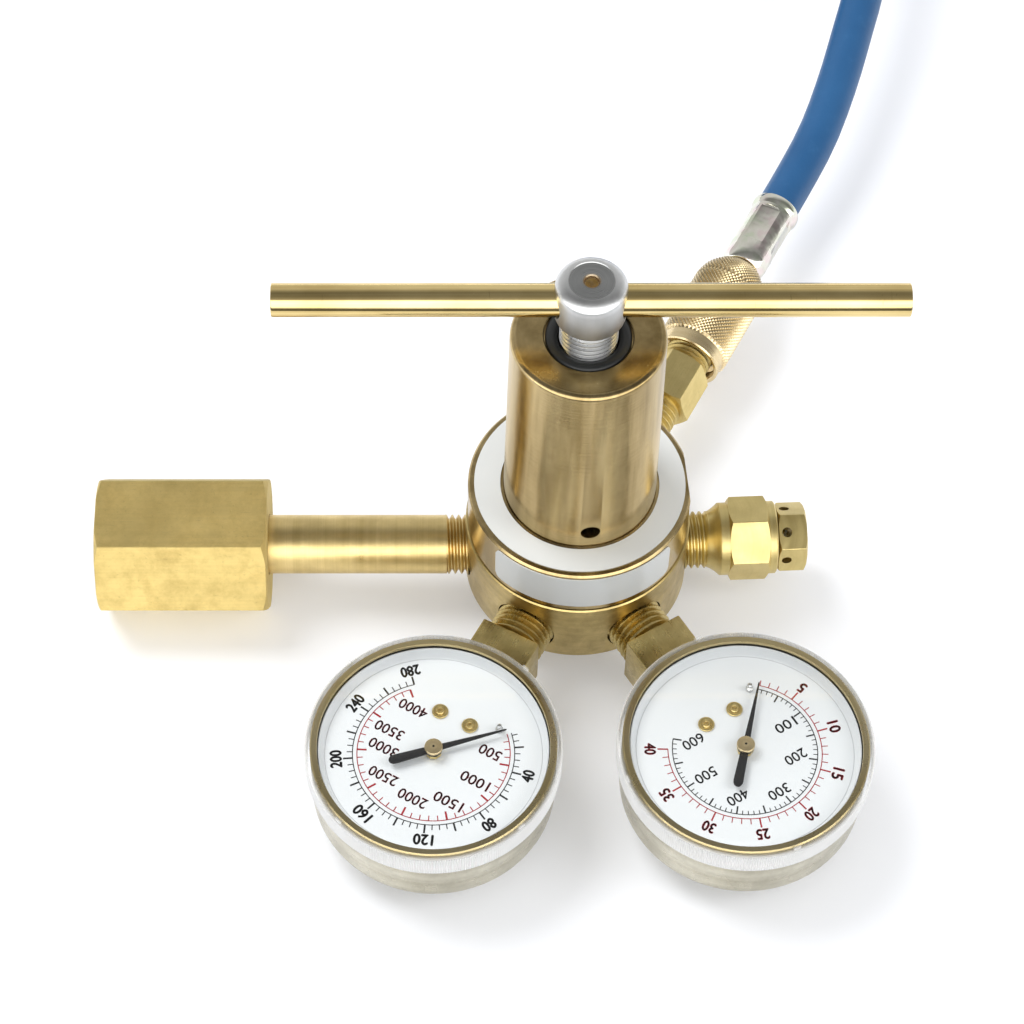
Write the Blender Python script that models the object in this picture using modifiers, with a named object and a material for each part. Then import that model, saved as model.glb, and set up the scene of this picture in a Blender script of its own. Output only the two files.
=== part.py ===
# Nitrogen pressure regulator with two gauges, a relief valve, an inlet nut and a hose.
# The origin is on the floor under the valve body's axis. +Z is up, along the adjusting
# screw; -X is towards the inlet nut; -Y is towards the gauges.

import math

import bmesh
import bpy
from mathutils import Matrix, Vector

MM = 0.001

# Fits and mesh fineness
SEAT_GAP = 0.3 * MM
LABEL_GAP = 0.05 * MM
BODY_STEPS = 24
GAUGE_STEPS = 24
FITTING_STEPS = 16
HEXAGON_STEPS = 18
COIL_STEPS = 40
PIN_STEPS = 8
SPRING_STEPS = 10
SMALL_SPRING_STEPS = 8
BOURDON_FACETS = 16
LABEL_BAND_FACETS = 14
CROWN_FACETS = 3
CURVE_SAMPLES = 40

# Valve body and back cap
BODY_RIM_WALL = 3.1 * MM
BODY_BOTTOM_CHAMFER = 0.9 * MM
BODY_TOP_CHAMFER = 0.4 * MM
CAP_GASKET_MARGIN = 0.7 * MM
CAP_THICKNESS = 5.8 * MM
CAP_CHAMFER = 0.6 * MM
CAP_SPIGOT_RADIUS = 9.7 * MM
CAP_SPIGOT_LENGTH = 3.7 * MM
CAP_POCKET_RADIUS = 3.4 * MM
CAP_POCKET_FLOOR = 2.5 * MM
GASKET_LAND = 5.1 * MM
GASKET_THICKNESS = 0.7 * MM
PORT_ABOVE_BODY_BOTTOM = 8.0 * MM
PORT_END_WALL = 2.5 * MM
PRESSURE_BORE_DEPTH = 9.4 * MM
WEB_THICKNESS = 3.7 * MM
RECESS_DEPTH = 3.0 * MM
CHAMBER_CLEARANCE = 3.0 * MM
CHAMBER_DEPTH = 0.8 * MM
WELL_RADIUS = 7.0 * MM
WELL_DEPTH = 2.2 * MM
DRILLING_RADIUS = 1.0 * MM
DRILLING_SETBACK = 2.5 * MM
CROSS_DRILLING_RADIUS = 2.4 * MM

# Valve seat and poppet
SEAT_HUB_RADIUS = 4.0 * MM
SEAT_FLANGE_RADIUS = 6.0 * MM
SEAT_FLANGE_THICKNESS = 2.0 * MM
SEAT_ORIFICE_RADIUS = 1.7 * MM
POPPET_HEAD_RADIUS = 3.4 * MM
POPPET_HEAD_THICKNESS = 2.5 * MM
POPPET_PIN_RADIUS = 1.1 * MM
POPPET_TAIL_RADIUS = 1.3 * MM
POPPET_TAIL_LENGTH = 4.4 * MM
POPPET_SPRING_WIRE = 0.6 * MM
POPPET_SPRING_RADIUS = 2.6 * MM
POPPET_SPRING_TURNS = 4.5

# Diaphragm stack
DIAPHRAGM_LEDGE = 4.2 * MM
DIAPHRAGM_THICKNESS = 0.8 * MM
SLIP_RING_THICKNESS = 0.7 * MM
SLIP_RING_CLEARANCE = 2.0 * MM
PLATE_MARGIN = 1.95 * MM
PLATE_THICKNESS = 2.2 * MM
PLATE_BOSS_HEIGHT = 2.5 * MM

# Bonnet
FLANGE_STEP = 0.4 * MM
FLANGE_HEIGHT = 12.95 * MM
FLANGE_EDGE_CHAMFER = 0.4 * MM
FLANGE_FLAT_DEPTH = 0.85 * MM
FLANGE_FLAT_AZIMUTH = math.radians(4.5)
BONNET_HEIGHT = 53.35 * MM
BONNET_TAPER = 0.5 * MM
BONNET_TOP_ROUNDING = 1.2 * MM
BONNET_FOOT_FILLET = 0.35 * MM
BONNET_WALL = 3.2 * MM
BONNET_TOP_THICKNESS = 10.0 * MM
BONNET_MOUTH_CLEARANCE = 1.4 * MM
BONNET_MOUTH_DEPTH = 5.5 * MM
BONNET_MOUTH_TAPER = 2.5 * MM
COUNTERSINK_FLARE = 0.1 * MM
COUNTERSINK_DEPTH = 1.6 * MM
VENT_RADIUS = 2.1 * MM
VENT_ABOVE_FLANGE = 5.4 * MM
VENT_AZIMUTH = math.radians(-84.0)
LABEL_THICKNESS = 0.2 * MM
LABEL_RING_BORDER = 0.5 * MM
LABEL_BAND_HEIGHT = 10.4 * MM
LABEL_BAND_BELOW_TOP = 0.9 * MM
LABEL_BAND_START = math.radians(-138.5)
LABEL_BAND_END = math.radians(-38.5)
SCREW_RING_THICKNESS = 1.5 * MM
SCREW_RING_WIDTH = 2.5 * MM

# Adjusting screw, cross bar, spring and button
SCREW_RADIUS = 6.0 * MM
SCREW_TIP_CHAMFER = 0.9 * MM
SCREW_LENGTH = 27.0 * MM
HEAD_LIFT = 6.8 * MM
HEAD_RADIUS = 7.3 * MM
HEAD_BARREL = 8.85 * MM
HEAD_CROWN = 2.25 * MM
HEAD_DISC_RADIUS = 4.7 * MM
HEAD_CENTRE_RADIUS = 1.5 * MM
HEAD_CENTRE_DEPTH = 1.6 * MM
BAR_RADIUS = 3.43 * MM
BAR_LENGTH = 127.2 * MM
BAR_ABOVE_HEAD_BOTTOM = 4.8 * MM
BAR_END_CHAMFER = 0.35 * MM
BUTTON_CLEARANCE = 1.0 * MM
BUTTON_THICKNESS = 3.0 * MM
BUTTON_BOSS_HEIGHT = 2.4 * MM
BUTTON_RIM_RADIUS = 8.4 * MM
BUTTON_RIM_HEIGHT = 1.2 * MM
SPRING_WIRE = 2.9 * MM
SPRING_RADIUS = 10.6 * MM
SPRING_BOSS_CLEARANCE = 0.9 * MM
SPRING_BORE_CLEARANCE = 1.25 * MM
SPRING_TURNS = 6.5

# Pipe threads, as plain cylinders at their crests
QUARTER_PIPE_RADIUS = 6.6 * MM
ADAPTER_THREAD_RADIUS = 5.3 * MM

# Inlet. What lies outside the body is placed by its distance from the body's side.
INLET_AZIMUTH = math.pi
INLET_TUBE_RADIUS = 6.54 * MM
INLET_THREAD_SHOWN = 4.0 * MM
INLET_BORE_RADIUS = 2.4 * MM
INLET_STEM_SHOWN = 43.7 * MM
NUT_LENGTH = 37.6 * MM
NUT_ACROSS_FLATS = 28.6 * MM
NUT_ROLL = math.radians(24.5)
NUT_END_CHAMFER = 1.0 * MM
NUT_BORE_RADIUS = 10.9 * MM
NUT_WALL = 5.0 * MM
NIPPLE_COLLAR_RADIUS = 10.2 * MM
NIPPLE_COLLAR_LENGTH = 5.0 * MM
NIPPLE_NOSE_RADIUS = 7.2 * MM
NIPPLE_NOSE_LENGTH = 13.0 * MM
NIPPLE_NOSE_TIP_RADIUS = 4.2 * MM
NIPPLE_NOSE_TAPER = 7.2 * MM
FILTER_RADIUS = 3.0 * MM
FILTER_LENGTH = 5.0 * MM

# Relief valve
RELIEF_AZIMUTH = math.radians(2.5)
RELIEF_THREAD_RADIUS = 6.35 * MM
RELIEF_THREAD_SHOWN = 3.8 * MM
RELIEF_NECK_RADIUS = 5.9 * MM
RELIEF_NECK_LENGTH = 0.4 * MM
RELIEF_CONE_LENGTH = 2.9 * MM
RELIEF_DISC_RADIUS = 8.1 * MM
RELIEF_DISC_LENGTH = 1.7 * MM
RELIEF_HEX_LENGTH = 9.4 * MM
RELIEF_ACROSS_FLATS = 16.3 * MM
RELIEF_HEX_ROLL = math.radians(11.0)
RELIEF_HEX_CHAMFER = 0.9 * MM
RELIEF_COLLAR_LENGTH = 1.5 * MM
RELIEF_BORE_RADIUS = 4.3 * MM
RELIEF_BORE_DEPTH = 12.8 * MM
RELIEF_PASSAGE_RADIUS = 1.8 * MM
RELIEF_CAP_ACROSS_FLATS = 13.4 * MM
RELIEF_CAP_LENGTH = 6.3 * MM
RELIEF_CAP_ROLL = math.radians(55.0)
RELIEF_CAP_CHAMFER = 0.5 * MM
RELIEF_CAP_SPIGOT = 4.6 * MM
RELIEF_CAP_WALL = 0.8 * MM
RELIEF_CAP_END_WALL = 1.5 * MM
RELIEF_VENT_RADIUS = 1.1 * MM
RELIEF_VENT_SETBACK = 1.8 * MM
RELIEF_POPPET_THICKNESS = 2.5 * MM
RELIEF_POPPET_STEM = 3.7 * MM
RELIEF_POPPET_STEM_RADIUS = 1.2 * MM
RELIEF_TRAVEL = 0.7 * MM
RELIEF_SPRING_WIRE = 0.8 * MM
RELIEF_SPRING_CLEARANCE = 0.4 * MM
RELIEF_SPRING_TURNS = 5.5

# Gauges. Heights count from the port axis, distances from the gauge's own axis.
LEFT_STEM_SHOWN = 8.7 * MM
LEFT_GAUGE_AZIMUTH = math.radians(-118.9)
LEFT_POINTER_AZIMUTH = math.radians(16.9)
LEFT_STOP_PIN_AZIMUTH = math.radians(21.3)
RIGHT_STEM_SHOWN = 9.5 * MM
RIGHT_GAUGE_AZIMUTH = math.radians(-58.85)
RIGHT_POINTER_AZIMUTH = math.radians(76.7)
RIGHT_STOP_PIN_AZIMUTH = math.radians(83.5)
CASE_RADIUS = 26.0 * MM
CASE_WALL = 0.8 * MM
CASE_BACK = -10.5 * MM
CASE_RIM = 10.9 * MM
CASE_CORNER = 5.0 * MM
CASE_LIP = 0.8 * MM
LENS_SKIRT_WALL = 0.85 * MM
LENS_SKIRT_DROP = 6.5 * MM
LENS_SHOULDER_LIFT = 0.4 * MM
LENS_TOP_LIFT = 2.3 * MM
LENS_WINDOW_INSET = 1.4 * MM
LENS_THICKNESS = 1.5 * MM
DIAL_TOP = 7.3 * MM
DIAL_THICKNESS = 0.5 * MM
STEM_SIDE = 13.5 * MM
STEM_THREAD_SHOWN = 5.9 * MM
SOCKET_INNER_END = 12.0 * MM
SOCKET_TOP = 5.4 * MM
SOCKET_BOTTOM = -6.0 * MM
TONGUE_THICKNESS = 2.0 * MM
TONGUE_END = -6.0 * MM
MOVEMENT_PLATE = 0.8 * MM
MOVEMENT_END = -5.0 * MM
MOVEMENT_HALF_WIDTH = 5.6 * MM
MOVEMENT_TOP_PLATE = 3.6 * MM
ARBOR_RADIUS = 0.6 * MM
PINION_RADIUS = 1.2 * MM
PINION_HEIGHT = 2.6 * MM
PINION_BOTTOM = -1.4 * MM
DIAL_SCREW_DISTANCE = 10.0 * MM
DIAL_SCREW_ANGLE = math.radians(21.0)
DIAL_SCREW_HEAD_RADIUS = 1.65 * MM
DIAL_SCREW_HEAD_HEIGHT = 0.8 * MM
DIAL_SCREW_SHANK_RADIUS = 0.7 * MM
DIAL_SCREW_SHANK_LENGTH = 3.0 * MM
PILLAR_RADIUS = 1.5 * MM
BOURDON_INSET = 7.4 * MM
BOURDON_HALF_WIDTH = 1.1 * MM
BOURDON_HALF_HEIGHT = 3.5 * MM
BOURDON_HEIGHT = -1.0 * MM
BOURDON_SWEEP = math.radians(268.0)
POINTER_LIFT = 1.5 * MM
POINTER_THICKNESS = 0.4 * MM
POINTER_TIP = 16.1 * MM
POINTER_TAIL = 9.8 * MM
POINTER_TAIL_HALF_WIDTH = 1.05 * MM
POINTER_ARM_HALF_WIDTH = 0.6 * MM
POINTER_COLLAR_RADIUS = 1.8 * MM
HUB_RADIUS = 1.9 * MM
HUB_HEIGHT = 0.7 * MM
STOP_PIN_INSET = 1.2 * MM
STOP_PIN_RADIUS = 0.5 * MM
STOP_PIN_HEIGHT = 2.3 * MM

# Outlet adapter and the hose's fittings
OUTLET_AZIMUTH = math.radians(62.3)
BUSHING_ACROSS_FLATS = 15.9 * MM
BUSHING_HEX_LENGTH = 5.4 * MM
ADAPTER_THREAD_INSIDE = 5.0 * MM
ADAPTER_HEX_SETBACK = 18.0 * MM
ADAPTER_HEX_LENGTH = 12.0 * MM
ADAPTER_ACROSS_FLATS = 12.7 * MM
ADAPTER_HEX_ROLL = math.radians(42.0)
ADAPTER_HEX_CHAMFER = 0.5 * MM
ADAPTER_BORE_RADIUS = 2.2 * MM
FLARE_THREAD_RADIUS = 5.55 * MM
FLARE_THREAD_LENGTH = 12.0 * MM
FLARE_NOSE_LENGTH = 2.2 * MM
FLARE_NOSE_RADIUS = 3.4 * MM
HOSE_GASKET_THICKNESS = 1.9 * MM
HOSE_GASKET_RADIUS = 5.3 * MM
NIPPLE_FLANGE_LENGTH = 4.4 * MM
NIPPLE_TAIL_RADIUS = 4.2 * MM
NIPPLE_BARB_RADIUS = 2.4 * MM
NIPPLE_BARB_LENGTH = 14.0 * MM
NIPPLE_BORE_RADIUS = 1.5 * MM
SLEEVE_STANDOFF = 2.6 * MM
SLEEVE_LENGTH = 29.3 * MM
SLEEVE_RADIUS = 8.6 * MM
SLEEVE_COLLAR_RADIUS = 7.9 * MM
SLEEVE_COLLAR_LENGTH = 3.4 * MM
SLEEVE_MOUTH_RADIUS = 6.9 * MM
SLEEVE_MOUTH_DEPTH = 3.0 * MM
SLEEVE_DOME_LENGTH = 6.8 * MM
FERRULE_WALL = 0.85 * MM
FERRULE_LENGTH = 20.9 * MM
FERRULE_END_ROUNDING = 0.4 * MM
FERRULE_CRIMP = 0.45 * MM
FERRULE_LIP_LENGTH = 2.4 * MM
FERRULE_SHOULDER_LENGTH = 3.2 * MM
FERRULE_NECK_RADIUS = 4.0 * MM
FERRULE_DENT_DEPTH = 0.65 * MM
FERRULE_DENT_WIDTH = 6.2 * MM
FERRULE_DENT_LENGTH = 11.5 * MM
FERRULE_DENT_SETBACK = 9.0 * MM
FERRULE_DENTS = 4
FERRULE_DENT_ROLL = math.radians(178.0)

# Hose. Its full length is 914 mm; the part out of sight is wound in a neat coil.
HOSE_RADIUS = 5.0 * MM
HOSE_POINT_SPACING = 11.0 * MM
COIL_CENTRE_X = 30.0 * MM
COIL_CENTRE_Y = 243.0 * MM
COIL_RADIUS = 52.0 * MM
COIL_TURNS = 2.25
COIL_SLACK = 0.2 * MM
HOSE_ROUTE = (
    (60.8 * MM, 116.0 * MM, 17.2 * MM),
    (66.6 * MM, 131.3 * MM, 19.3 * MM),
    (71.1 * MM, 146.0 * MM, 21.2 * MM),
    (75.6 * MM, 162.0 * MM, 23.2 * MM),
    (79.8 * MM, 184.0 * MM, 26.0 * MM),
)
HOSE_END_HEIGHT = 8.7 * MM

# Radii about the body's axis, from the main spring outwards
spring_outside = SPRING_RADIUS + SPRING_WIRE / 2
bonnet_bore = spring_outside + SPRING_BORE_CLEARANCE
bonnet_base_radius = bonnet_bore + BONNET_WALL
bonnet_top_radius = bonnet_base_radius - BONNET_TAPER
plate_radius = spring_outside + PLATE_MARGIN
chamber_radius = plate_radius + CHAMBER_CLEARANCE
diaphragm_radius = chamber_radius + DIAPHRAGM_LEDGE
recess_radius = diaphragm_radius + SEAT_GAP
body_radius = recess_radius + BODY_RIM_WALL
flange_radius = body_radius - FLANGE_STEP
screw_hole_radius = SCREW_RADIUS + SEAT_GAP
screw_ring_radius = screw_hole_radius + SCREW_RING_WIDTH
pressure_bore_radius = CAP_SPIGOT_RADIUS + SEAT_GAP
gasket_outer_radius = CAP_SPIGOT_RADIUS + GASKET_LAND
cap_across_flats = 2 * (gasket_outer_radius + CAP_GASKET_MARGIN)

# Distances from the body's axis along a port
port_inner_end = pressure_bore_radius + PORT_END_WALL
thread_inner_end = port_inner_end + SEAT_GAP
nut_start = body_radius + INLET_STEM_SHOWN
nut_end = nut_start + NUT_LENGTH
stem_square_start = body_radius + STEM_THREAD_SHOWN
relief_hex_start = (
    body_radius
    + RELIEF_THREAD_SHOWN
    + RELIEF_NECK_LENGTH
    + RELIEF_CONE_LENGTH
    + RELIEF_DISC_LENGTH
)
relief_collar_end = relief_hex_start + RELIEF_HEX_LENGTH + RELIEF_COLLAR_LENGTH
adapter_hex_start = body_radius + ADAPTER_HEX_SETBACK

# Radii about a gauge's axis, and heights above its centre plane
case_inside = CASE_RADIUS - CASE_WALL
dial_radius = case_inside - SEAT_GAP
bourdon_radius = CASE_RADIUS - BOURDON_INSET
lens_skirt_inside = CASE_RADIUS + SEAT_GAP
lens_radius = lens_skirt_inside + LENS_SKIRT_WALL
lens_window_radius = CASE_RADIUS - LENS_WINDOW_INSET
lens_skirt_bottom = CASE_RIM - LENS_SKIRT_DROP
lens_shoulder = CASE_RIM + LENS_SHOULDER_LIFT
lens_top = CASE_RIM + LENS_TOP_LIFT
pin_distance = POINTER_TIP - STOP_PIN_INSET

# Heights above the floor that the stack of pieces gives
gasket_bottom = CAP_THICKNESS + SEAT_GAP
body_bottom = gasket_bottom + GASKET_THICKNESS + SEAT_GAP
port_height = body_bottom + PORT_ABOVE_BODY_BOTTOM
web_bottom = body_bottom + PRESSURE_BORE_DEPTH
well_floor = web_bottom + WEB_THICKNESS
chamber_floor = well_floor + WELL_DEPTH
recess_floor = chamber_floor + CHAMBER_DEPTH
body_top = recess_floor + RECESS_DEPTH
diaphragm_bottom = recess_floor + SEAT_GAP
slip_ring_bottom = diaphragm_bottom + DIAPHRAGM_THICKNESS + SEAT_GAP
spigot_bottom = slip_ring_bottom + SLIP_RING_THICKNESS + SEAT_GAP
flange_bottom = body_top + SEAT_GAP
flange_top = flange_bottom + FLANGE_HEIGHT
bonnet_top = flange_top + BONNET_HEIGHT
head_bottom = bonnet_top + HEAD_LIFT
screw_tip = head_bottom - SCREW_LENGTH
button_top = screw_tip - SEAT_GAP
bar_height = head_bottom + BAR_ABOVE_HEAD_BOTTOM
plate_bottom = diaphragm_bottom + DIAPHRAGM_THICKNESS + SEAT_GAP
plate_top = plate_bottom + PLATE_THICKNESS

# Distances along the outlet
adapter_hex_end = adapter_hex_start + ADAPTER_HEX_LENGTH
sleeve_start = adapter_hex_end + SLEEVE_STANDOFF
flare_nose_end = adapter_hex_end + FLARE_THREAD_LENGTH + FLARE_NOSE_LENGTH
hose_gasket_start = flare_nose_end + SEAT_GAP
nipple_start = hose_gasket_start + HOSE_GASKET_THICKNESS + SEAT_GAP
sleeve_end = sleeve_start + SLEEVE_LENGTH
ferrule_start = sleeve_end + 2 * SEAT_GAP
ferrule_end = ferrule_start + FERRULE_LENGTH
hose_start = ferrule_end + SEAT_GAP

# The coil winds anticlockwise from its top turn down to the floor
ferrule_radius = HOSE_RADIUS + FERRULE_WALL
coil_pitch = 2 * HOSE_RADIUS + COIL_SLACK
coil_bottom_height = HOSE_RADIUS + SEAT_GAP
coil_start_height = coil_bottom_height + COIL_TURNS * coil_pitch
coil_centre = Vector((COIL_CENTRE_X, COIL_CENTRE_Y, 0.0))
coil_outer_radius = COIL_RADIUS + coil_pitch / 2
coil_outside = coil_outer_radius + SEAT_GAP

# How far along the tangent the hose, and its end fitting, first lie clear of the coil
hose_lead = math.sqrt(coil_outside**2 - (COIL_RADIUS - HOSE_RADIUS) ** 2)
fitting_lead = math.sqrt(coil_outside**2 - (COIL_RADIUS - ferrule_radius) ** 2)


def clear_scene():
    for obj in list(bpy.data.objects):
        bpy.data.objects.remove(obj, do_unlink=True)


clear_scene()
parts = bpy.data.collections.new("nitrogen_pressure_regulator")
cutters = bpy.data.collections.new("cutters")
cutters.hide_render = True
bpy.context.scene.collection.children.link(parts)
bpy.context.scene.collection.children.link(cutters)


def make_material(name, colour, metallic, roughness, alpha=1.0):
    material = bpy.data.materials.new(name)
    material.use_nodes = True
    shader = material.node_tree.nodes["Principled BSDF"]
    shader.inputs["Base Color"].default_value = (*colour, 1.0)
    shader.inputs["Metallic"].default_value = metallic
    shader.inputs["Roughness"].default_value = roughness
    shader.inputs["Alpha"].default_value = alpha
    return material


BRASS = make_material("brass", (0.60, 0.45, 0.20), 1.0, 0.30)
BRIGHT_BRASS = make_material("bright_brass", (0.78, 0.62, 0.36), 1.0, 0.22)
DULL_BRASS = make_material("dull_brass", (0.50, 0.38, 0.17), 1.0, 0.45)
STEEL = make_material("steel", (0.62, 0.62, 0.62), 1.0, 0.25)
ZINC = make_material("zinc_plate", (0.70, 0.70, 0.64), 1.0, 0.30)
RUBBER = make_material("rubber", (0.03, 0.03, 0.03), 0.0, 0.70)
HOSE_BLUE = make_material("blue_hose", (0.03, 0.14, 0.36), 0.0, 0.45)
LABEL_WHITE = make_material("white_label", (0.85, 0.86, 0.87), 0.0, 0.40)
DIAL_WHITE = make_material("dial_white", (0.90, 0.91, 0.92), 0.0, 0.50)
POINTER_BLACK = make_material("pointer_black", (0.02, 0.02, 0.02), 0.0, 0.50)
CLEAR = make_material("clear_plastic", (0.90, 0.92, 0.92), 0.0, 0.10, 0.35)
BRONZE = make_material("sintered_bronze", (0.35, 0.24, 0.12), 1.0, 0.60)


def add_object(name, data, material=None, frame=None):
    # A piece with a material belongs to the part; one without it is a cutter.
    obj = bpy.data.objects.new(name, data)
    obj.matrix_world = frame if frame is not None else Matrix()
    if material is None:
        obj.hide_render = True
        obj.display_type = "WIRE"
        cutters.objects.link(obj)
    else:
        data.materials.append(material)
        parts.objects.link(obj)
    return obj


def turned(name, outline, material=None, frame=None, steps=FITTING_STEPS):
    # The outline of (radius, height) points runs down the outer side. It ends on the axis,
    # or else closes on itself as a ring.
    mesh = bpy.data.meshes.new(name)
    on_axis = outline[0][0] == 0.0
    edges = [(i, i + 1) for i in range(len(outline) - 1)]
    if not on_axis:
        edges.append((len(outline) - 1, 0))
    mesh.from_pydata([(radius, 0.0, height) for radius, height in outline], edges, [])
    obj = add_object(name, mesh, material, frame)
    screw = obj.modifiers.new("turn", "SCREW")
    screw.axis = "Z"
    screw.angle = 2 * math.pi
    screw.steps = steps
    screw.render_steps = steps
    screw.use_merge_vertices = True
    screw.merge_threshold = 0.00001
    screw.use_smooth_shade = True
    return obj


def disc(name, radius, bottom, top, material=None, frame=None, steps=FITTING_STEPS):
    outline = [(0.0, top), (radius, top), (radius, bottom), (0.0, bottom)]
    return turned(name, outline, material, frame, steps)


def ring(name, inner, outer, bottom, top, material=None, frame=None, steps=FITTING_STEPS):
    outline = [(inner, top), (outer, top), (outer, bottom), (inner, bottom)]
    return turned(name, outline, material, frame, steps)


def prism(name, across_flats, sides, bottom, top, roll, material=None, frame=None):
    # A straight bar with a regular outline, one corner at the roll angle
    corner_radius = across_flats / 2 / math.cos(math.pi / sides)
    mesh = bpy.data.meshes.new(name)
    shape = bmesh.new()
    bmesh.ops.create_cone(
        shape,
        cap_ends=True,
        segments=sides,
        radius1=corner_radius,
        radius2=corner_radius,
        depth=top - bottom,
    )
    first = max(shape.verts, key=lambda vert: vert.co.x)
    turn = roll - math.atan2(first.co.y, first.co.x)
    bmesh.ops.rotate(shape, verts=shape.verts, matrix=Matrix.Rotation(turn, 3, "Z"))
    bmesh.ops.translate(shape, verts=shape.verts, vec=(0.0, 0.0, (bottom + top) / 2))
    shape.to_mesh(mesh)
    shape.free()
    return add_object(name, mesh, material, frame)


def box(name, low, high, material=None, frame=None):
    mesh = bpy.data.meshes.new(name)
    shape = bmesh.new()
    bmesh.ops.create_cube(shape, size=1.0)
    size = [b - a for a, b in zip(low, high)]
    middle = [(a + b) / 2 for a, b in zip(low, high)]
    bmesh.ops.scale(shape, verts=shape.verts, vec=size)
    bmesh.ops.translate(shape, verts=shape.verts, vec=middle)
    shape.to_mesh(mesh)
    shape.free()
    return add_object(name, mesh, material, frame)


def combine(target, tool, operation):
    modifier = target.modifiers.new(tool.name, "BOOLEAN")
    modifier.operation = operation
    modifier.solver = "EXACT"
    modifier.object = tool


def cut(target, tool):
    combine(target, tool, "DIFFERENCE")


def join(target, tool):
    combine(target, tool, "UNION")


def chamfered_hexagon(name, across_flats, bottom, top, chamfer, roll, material=None, frame=None):
    # Bar stock turned at both ends, which leaves an arc on each flat
    bar = prism(name, across_flats, 6, bottom, top, roll, material, frame)
    corner_radius = across_flats / 2 / math.cos(math.pi / 6)
    face_radius = corner_radius - 2 * chamfer
    outline = [
        (0.0, top),
        (face_radius, top),
        (corner_radius + chamfer, top - 1.5 * chamfer),
        (corner_radius + chamfer, bottom + 1.5 * chamfer),
        (face_radius, bottom),
        (0.0, bottom),
    ]
    turning = turned(name + "_turning", outline, None, frame, HEXAGON_STEPS)
    combine(bar, turning, "INTERSECT")
    return bar


def arc(centre, radius, start, end, count):
    # Points of (radius, height) on a quarter round, angles in degrees
    points = []
    for i in range(count + 1):
        angle = math.radians(start + (end - start) * i / count)
        points.append((centre[0] + radius * math.cos(angle), centre[1] + radius * math.sin(angle)))
    return points


def wire(name, points, radius, resolution=1):
    curve = bpy.data.curves.new(name, "CURVE")
    curve.dimensions = "3D"
    curve.bevel_depth = radius
    curve.bevel_resolution = resolution
    curve.use_fill_caps = True
    spline = curve.splines.new("POLY")
    spline.points.add(len(points) - 1)
    for target, point in zip(spline.points, points):
        target.co = (*point, 1.0)
    return curve


def coil_spring(
    name, frame, mean_radius, wire_diameter, turns, bottom, top, material, per_turn=SPRING_STEPS, resolution=1
):
    # An open coil between two seats, its wire a wire's radius inside them
    low = bottom + wire_diameter / 2
    high = top - wire_diameter / 2
    count = round(turns * per_turn)
    points = []
    for i in range(count + 1):
        angle = 2 * math.pi * turns * i / count
        height = low + (high - low) * i / count
        points.append((mean_radius * math.cos(angle), mean_radius * math.sin(angle), height))
    curve = wire(name, points, wire_diameter / 2, resolution)
    return add_object(name, curve, material, frame)


def radial_frame(azimuth):
    # Local +Z runs outwards from the body axis at port height; local -X is up.
    lift = Matrix.Translation((0.0, 0.0, port_height))
    return lift @ Matrix.Rotation(azimuth, 4, "Z") @ Matrix.Rotation(math.pi / 2, 4, "Y")


def build_body():
    web_hole_radius = SEAT_HUB_RADIUS + SEAT_GAP
    outline = [
        (recess_radius, body_top),
        (body_radius - BODY_TOP_CHAMFER, body_top),
        (body_radius, body_top - BODY_TOP_CHAMFER),
        (body_radius, body_bottom + BODY_BOTTOM_CHAMFER),
        (body_radius - BODY_BOTTOM_CHAMFER, body_bottom),
        (pressure_bore_radius, body_bottom),
        (pressure_bore_radius, web_bottom),
        (web_hole_radius, web_bottom),
        (web_hole_radius, well_floor),
        (WELL_RADIUS, well_floor),
        (WELL_RADIUS, chamber_floor),
        (chamber_radius, chamber_floor),
        (chamber_radius, recess_floor),
        (recess_radius, recess_floor),
    ]
    body = turned("valve_body", outline, BRASS, None, BODY_STEPS)
    pipe_bore = QUARTER_PIPE_RADIUS + SEAT_GAP
    drilling_distance = port_inner_end + DRILLING_SETBACK
    ports = (
        ("inlet", INLET_AZIMUTH, pipe_bore, True),
        ("left_gauge", LEFT_GAUGE_AZIMUTH, pipe_bore, True),
        ("right_gauge", RIGHT_GAUGE_AZIMUTH, pipe_bore, False),
        ("outlet", OUTLET_AZIMUTH, pipe_bore, False),
        ("relief", RELIEF_AZIMUTH, RELIEF_THREAD_RADIUS + SEAT_GAP, False),
    )
    for name, azimuth, radius, high_pressure in ports:
        frame = radial_frame(azimuth)
        reach = body_radius + BODY_BOTTOM_CHAMFER
        cut(body, disc(name + "_port", radius, port_inner_end, reach, None, frame))
        if high_pressure:
            inner = pressure_bore_radius - CROSS_DRILLING_RADIUS
            outer = port_inner_end + CROSS_DRILLING_RADIUS
            drilling = disc(name + "_drilling", CROSS_DRILLING_RADIUS, inner, outer, None, frame, PIN_STEPS)
        else:
            place = Matrix.Rotation(azimuth, 4, "Z") @ Matrix.Translation((drilling_distance, 0.0, 0.0))
            top = chamber_floor + DRILLING_RADIUS
            drilling = disc(name + "_drilling", DRILLING_RADIUS, port_height, top, None, place, PIN_STEPS)
        cut(body, drilling)


def build_back_cap():
    cap = chamfered_hexagon("back_cap", cap_across_flats, 0.0, CAP_THICKNESS, CAP_CHAMFER, 0.0, BRASS)
    top = CAP_THICKNESS + CAP_SPIGOT_LENGTH
    join(cap, disc("cap_spigot", CAP_SPIGOT_RADIUS, CAP_POCKET_FLOOR, top, steps=BODY_STEPS))
    cut(cap, disc("cap_pocket", CAP_POCKET_RADIUS, CAP_POCKET_FLOOR, top + CAP_POCKET_RADIUS))
    inner = CAP_SPIGOT_RADIUS + 2 * SEAT_GAP
    ring(
        "cap_gasket",
        inner,
        gasket_outer_radius,
        gasket_bottom,
        gasket_bottom + GASKET_THICKNESS,
        RUBBER,
        steps=BODY_STEPS,
    )


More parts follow.
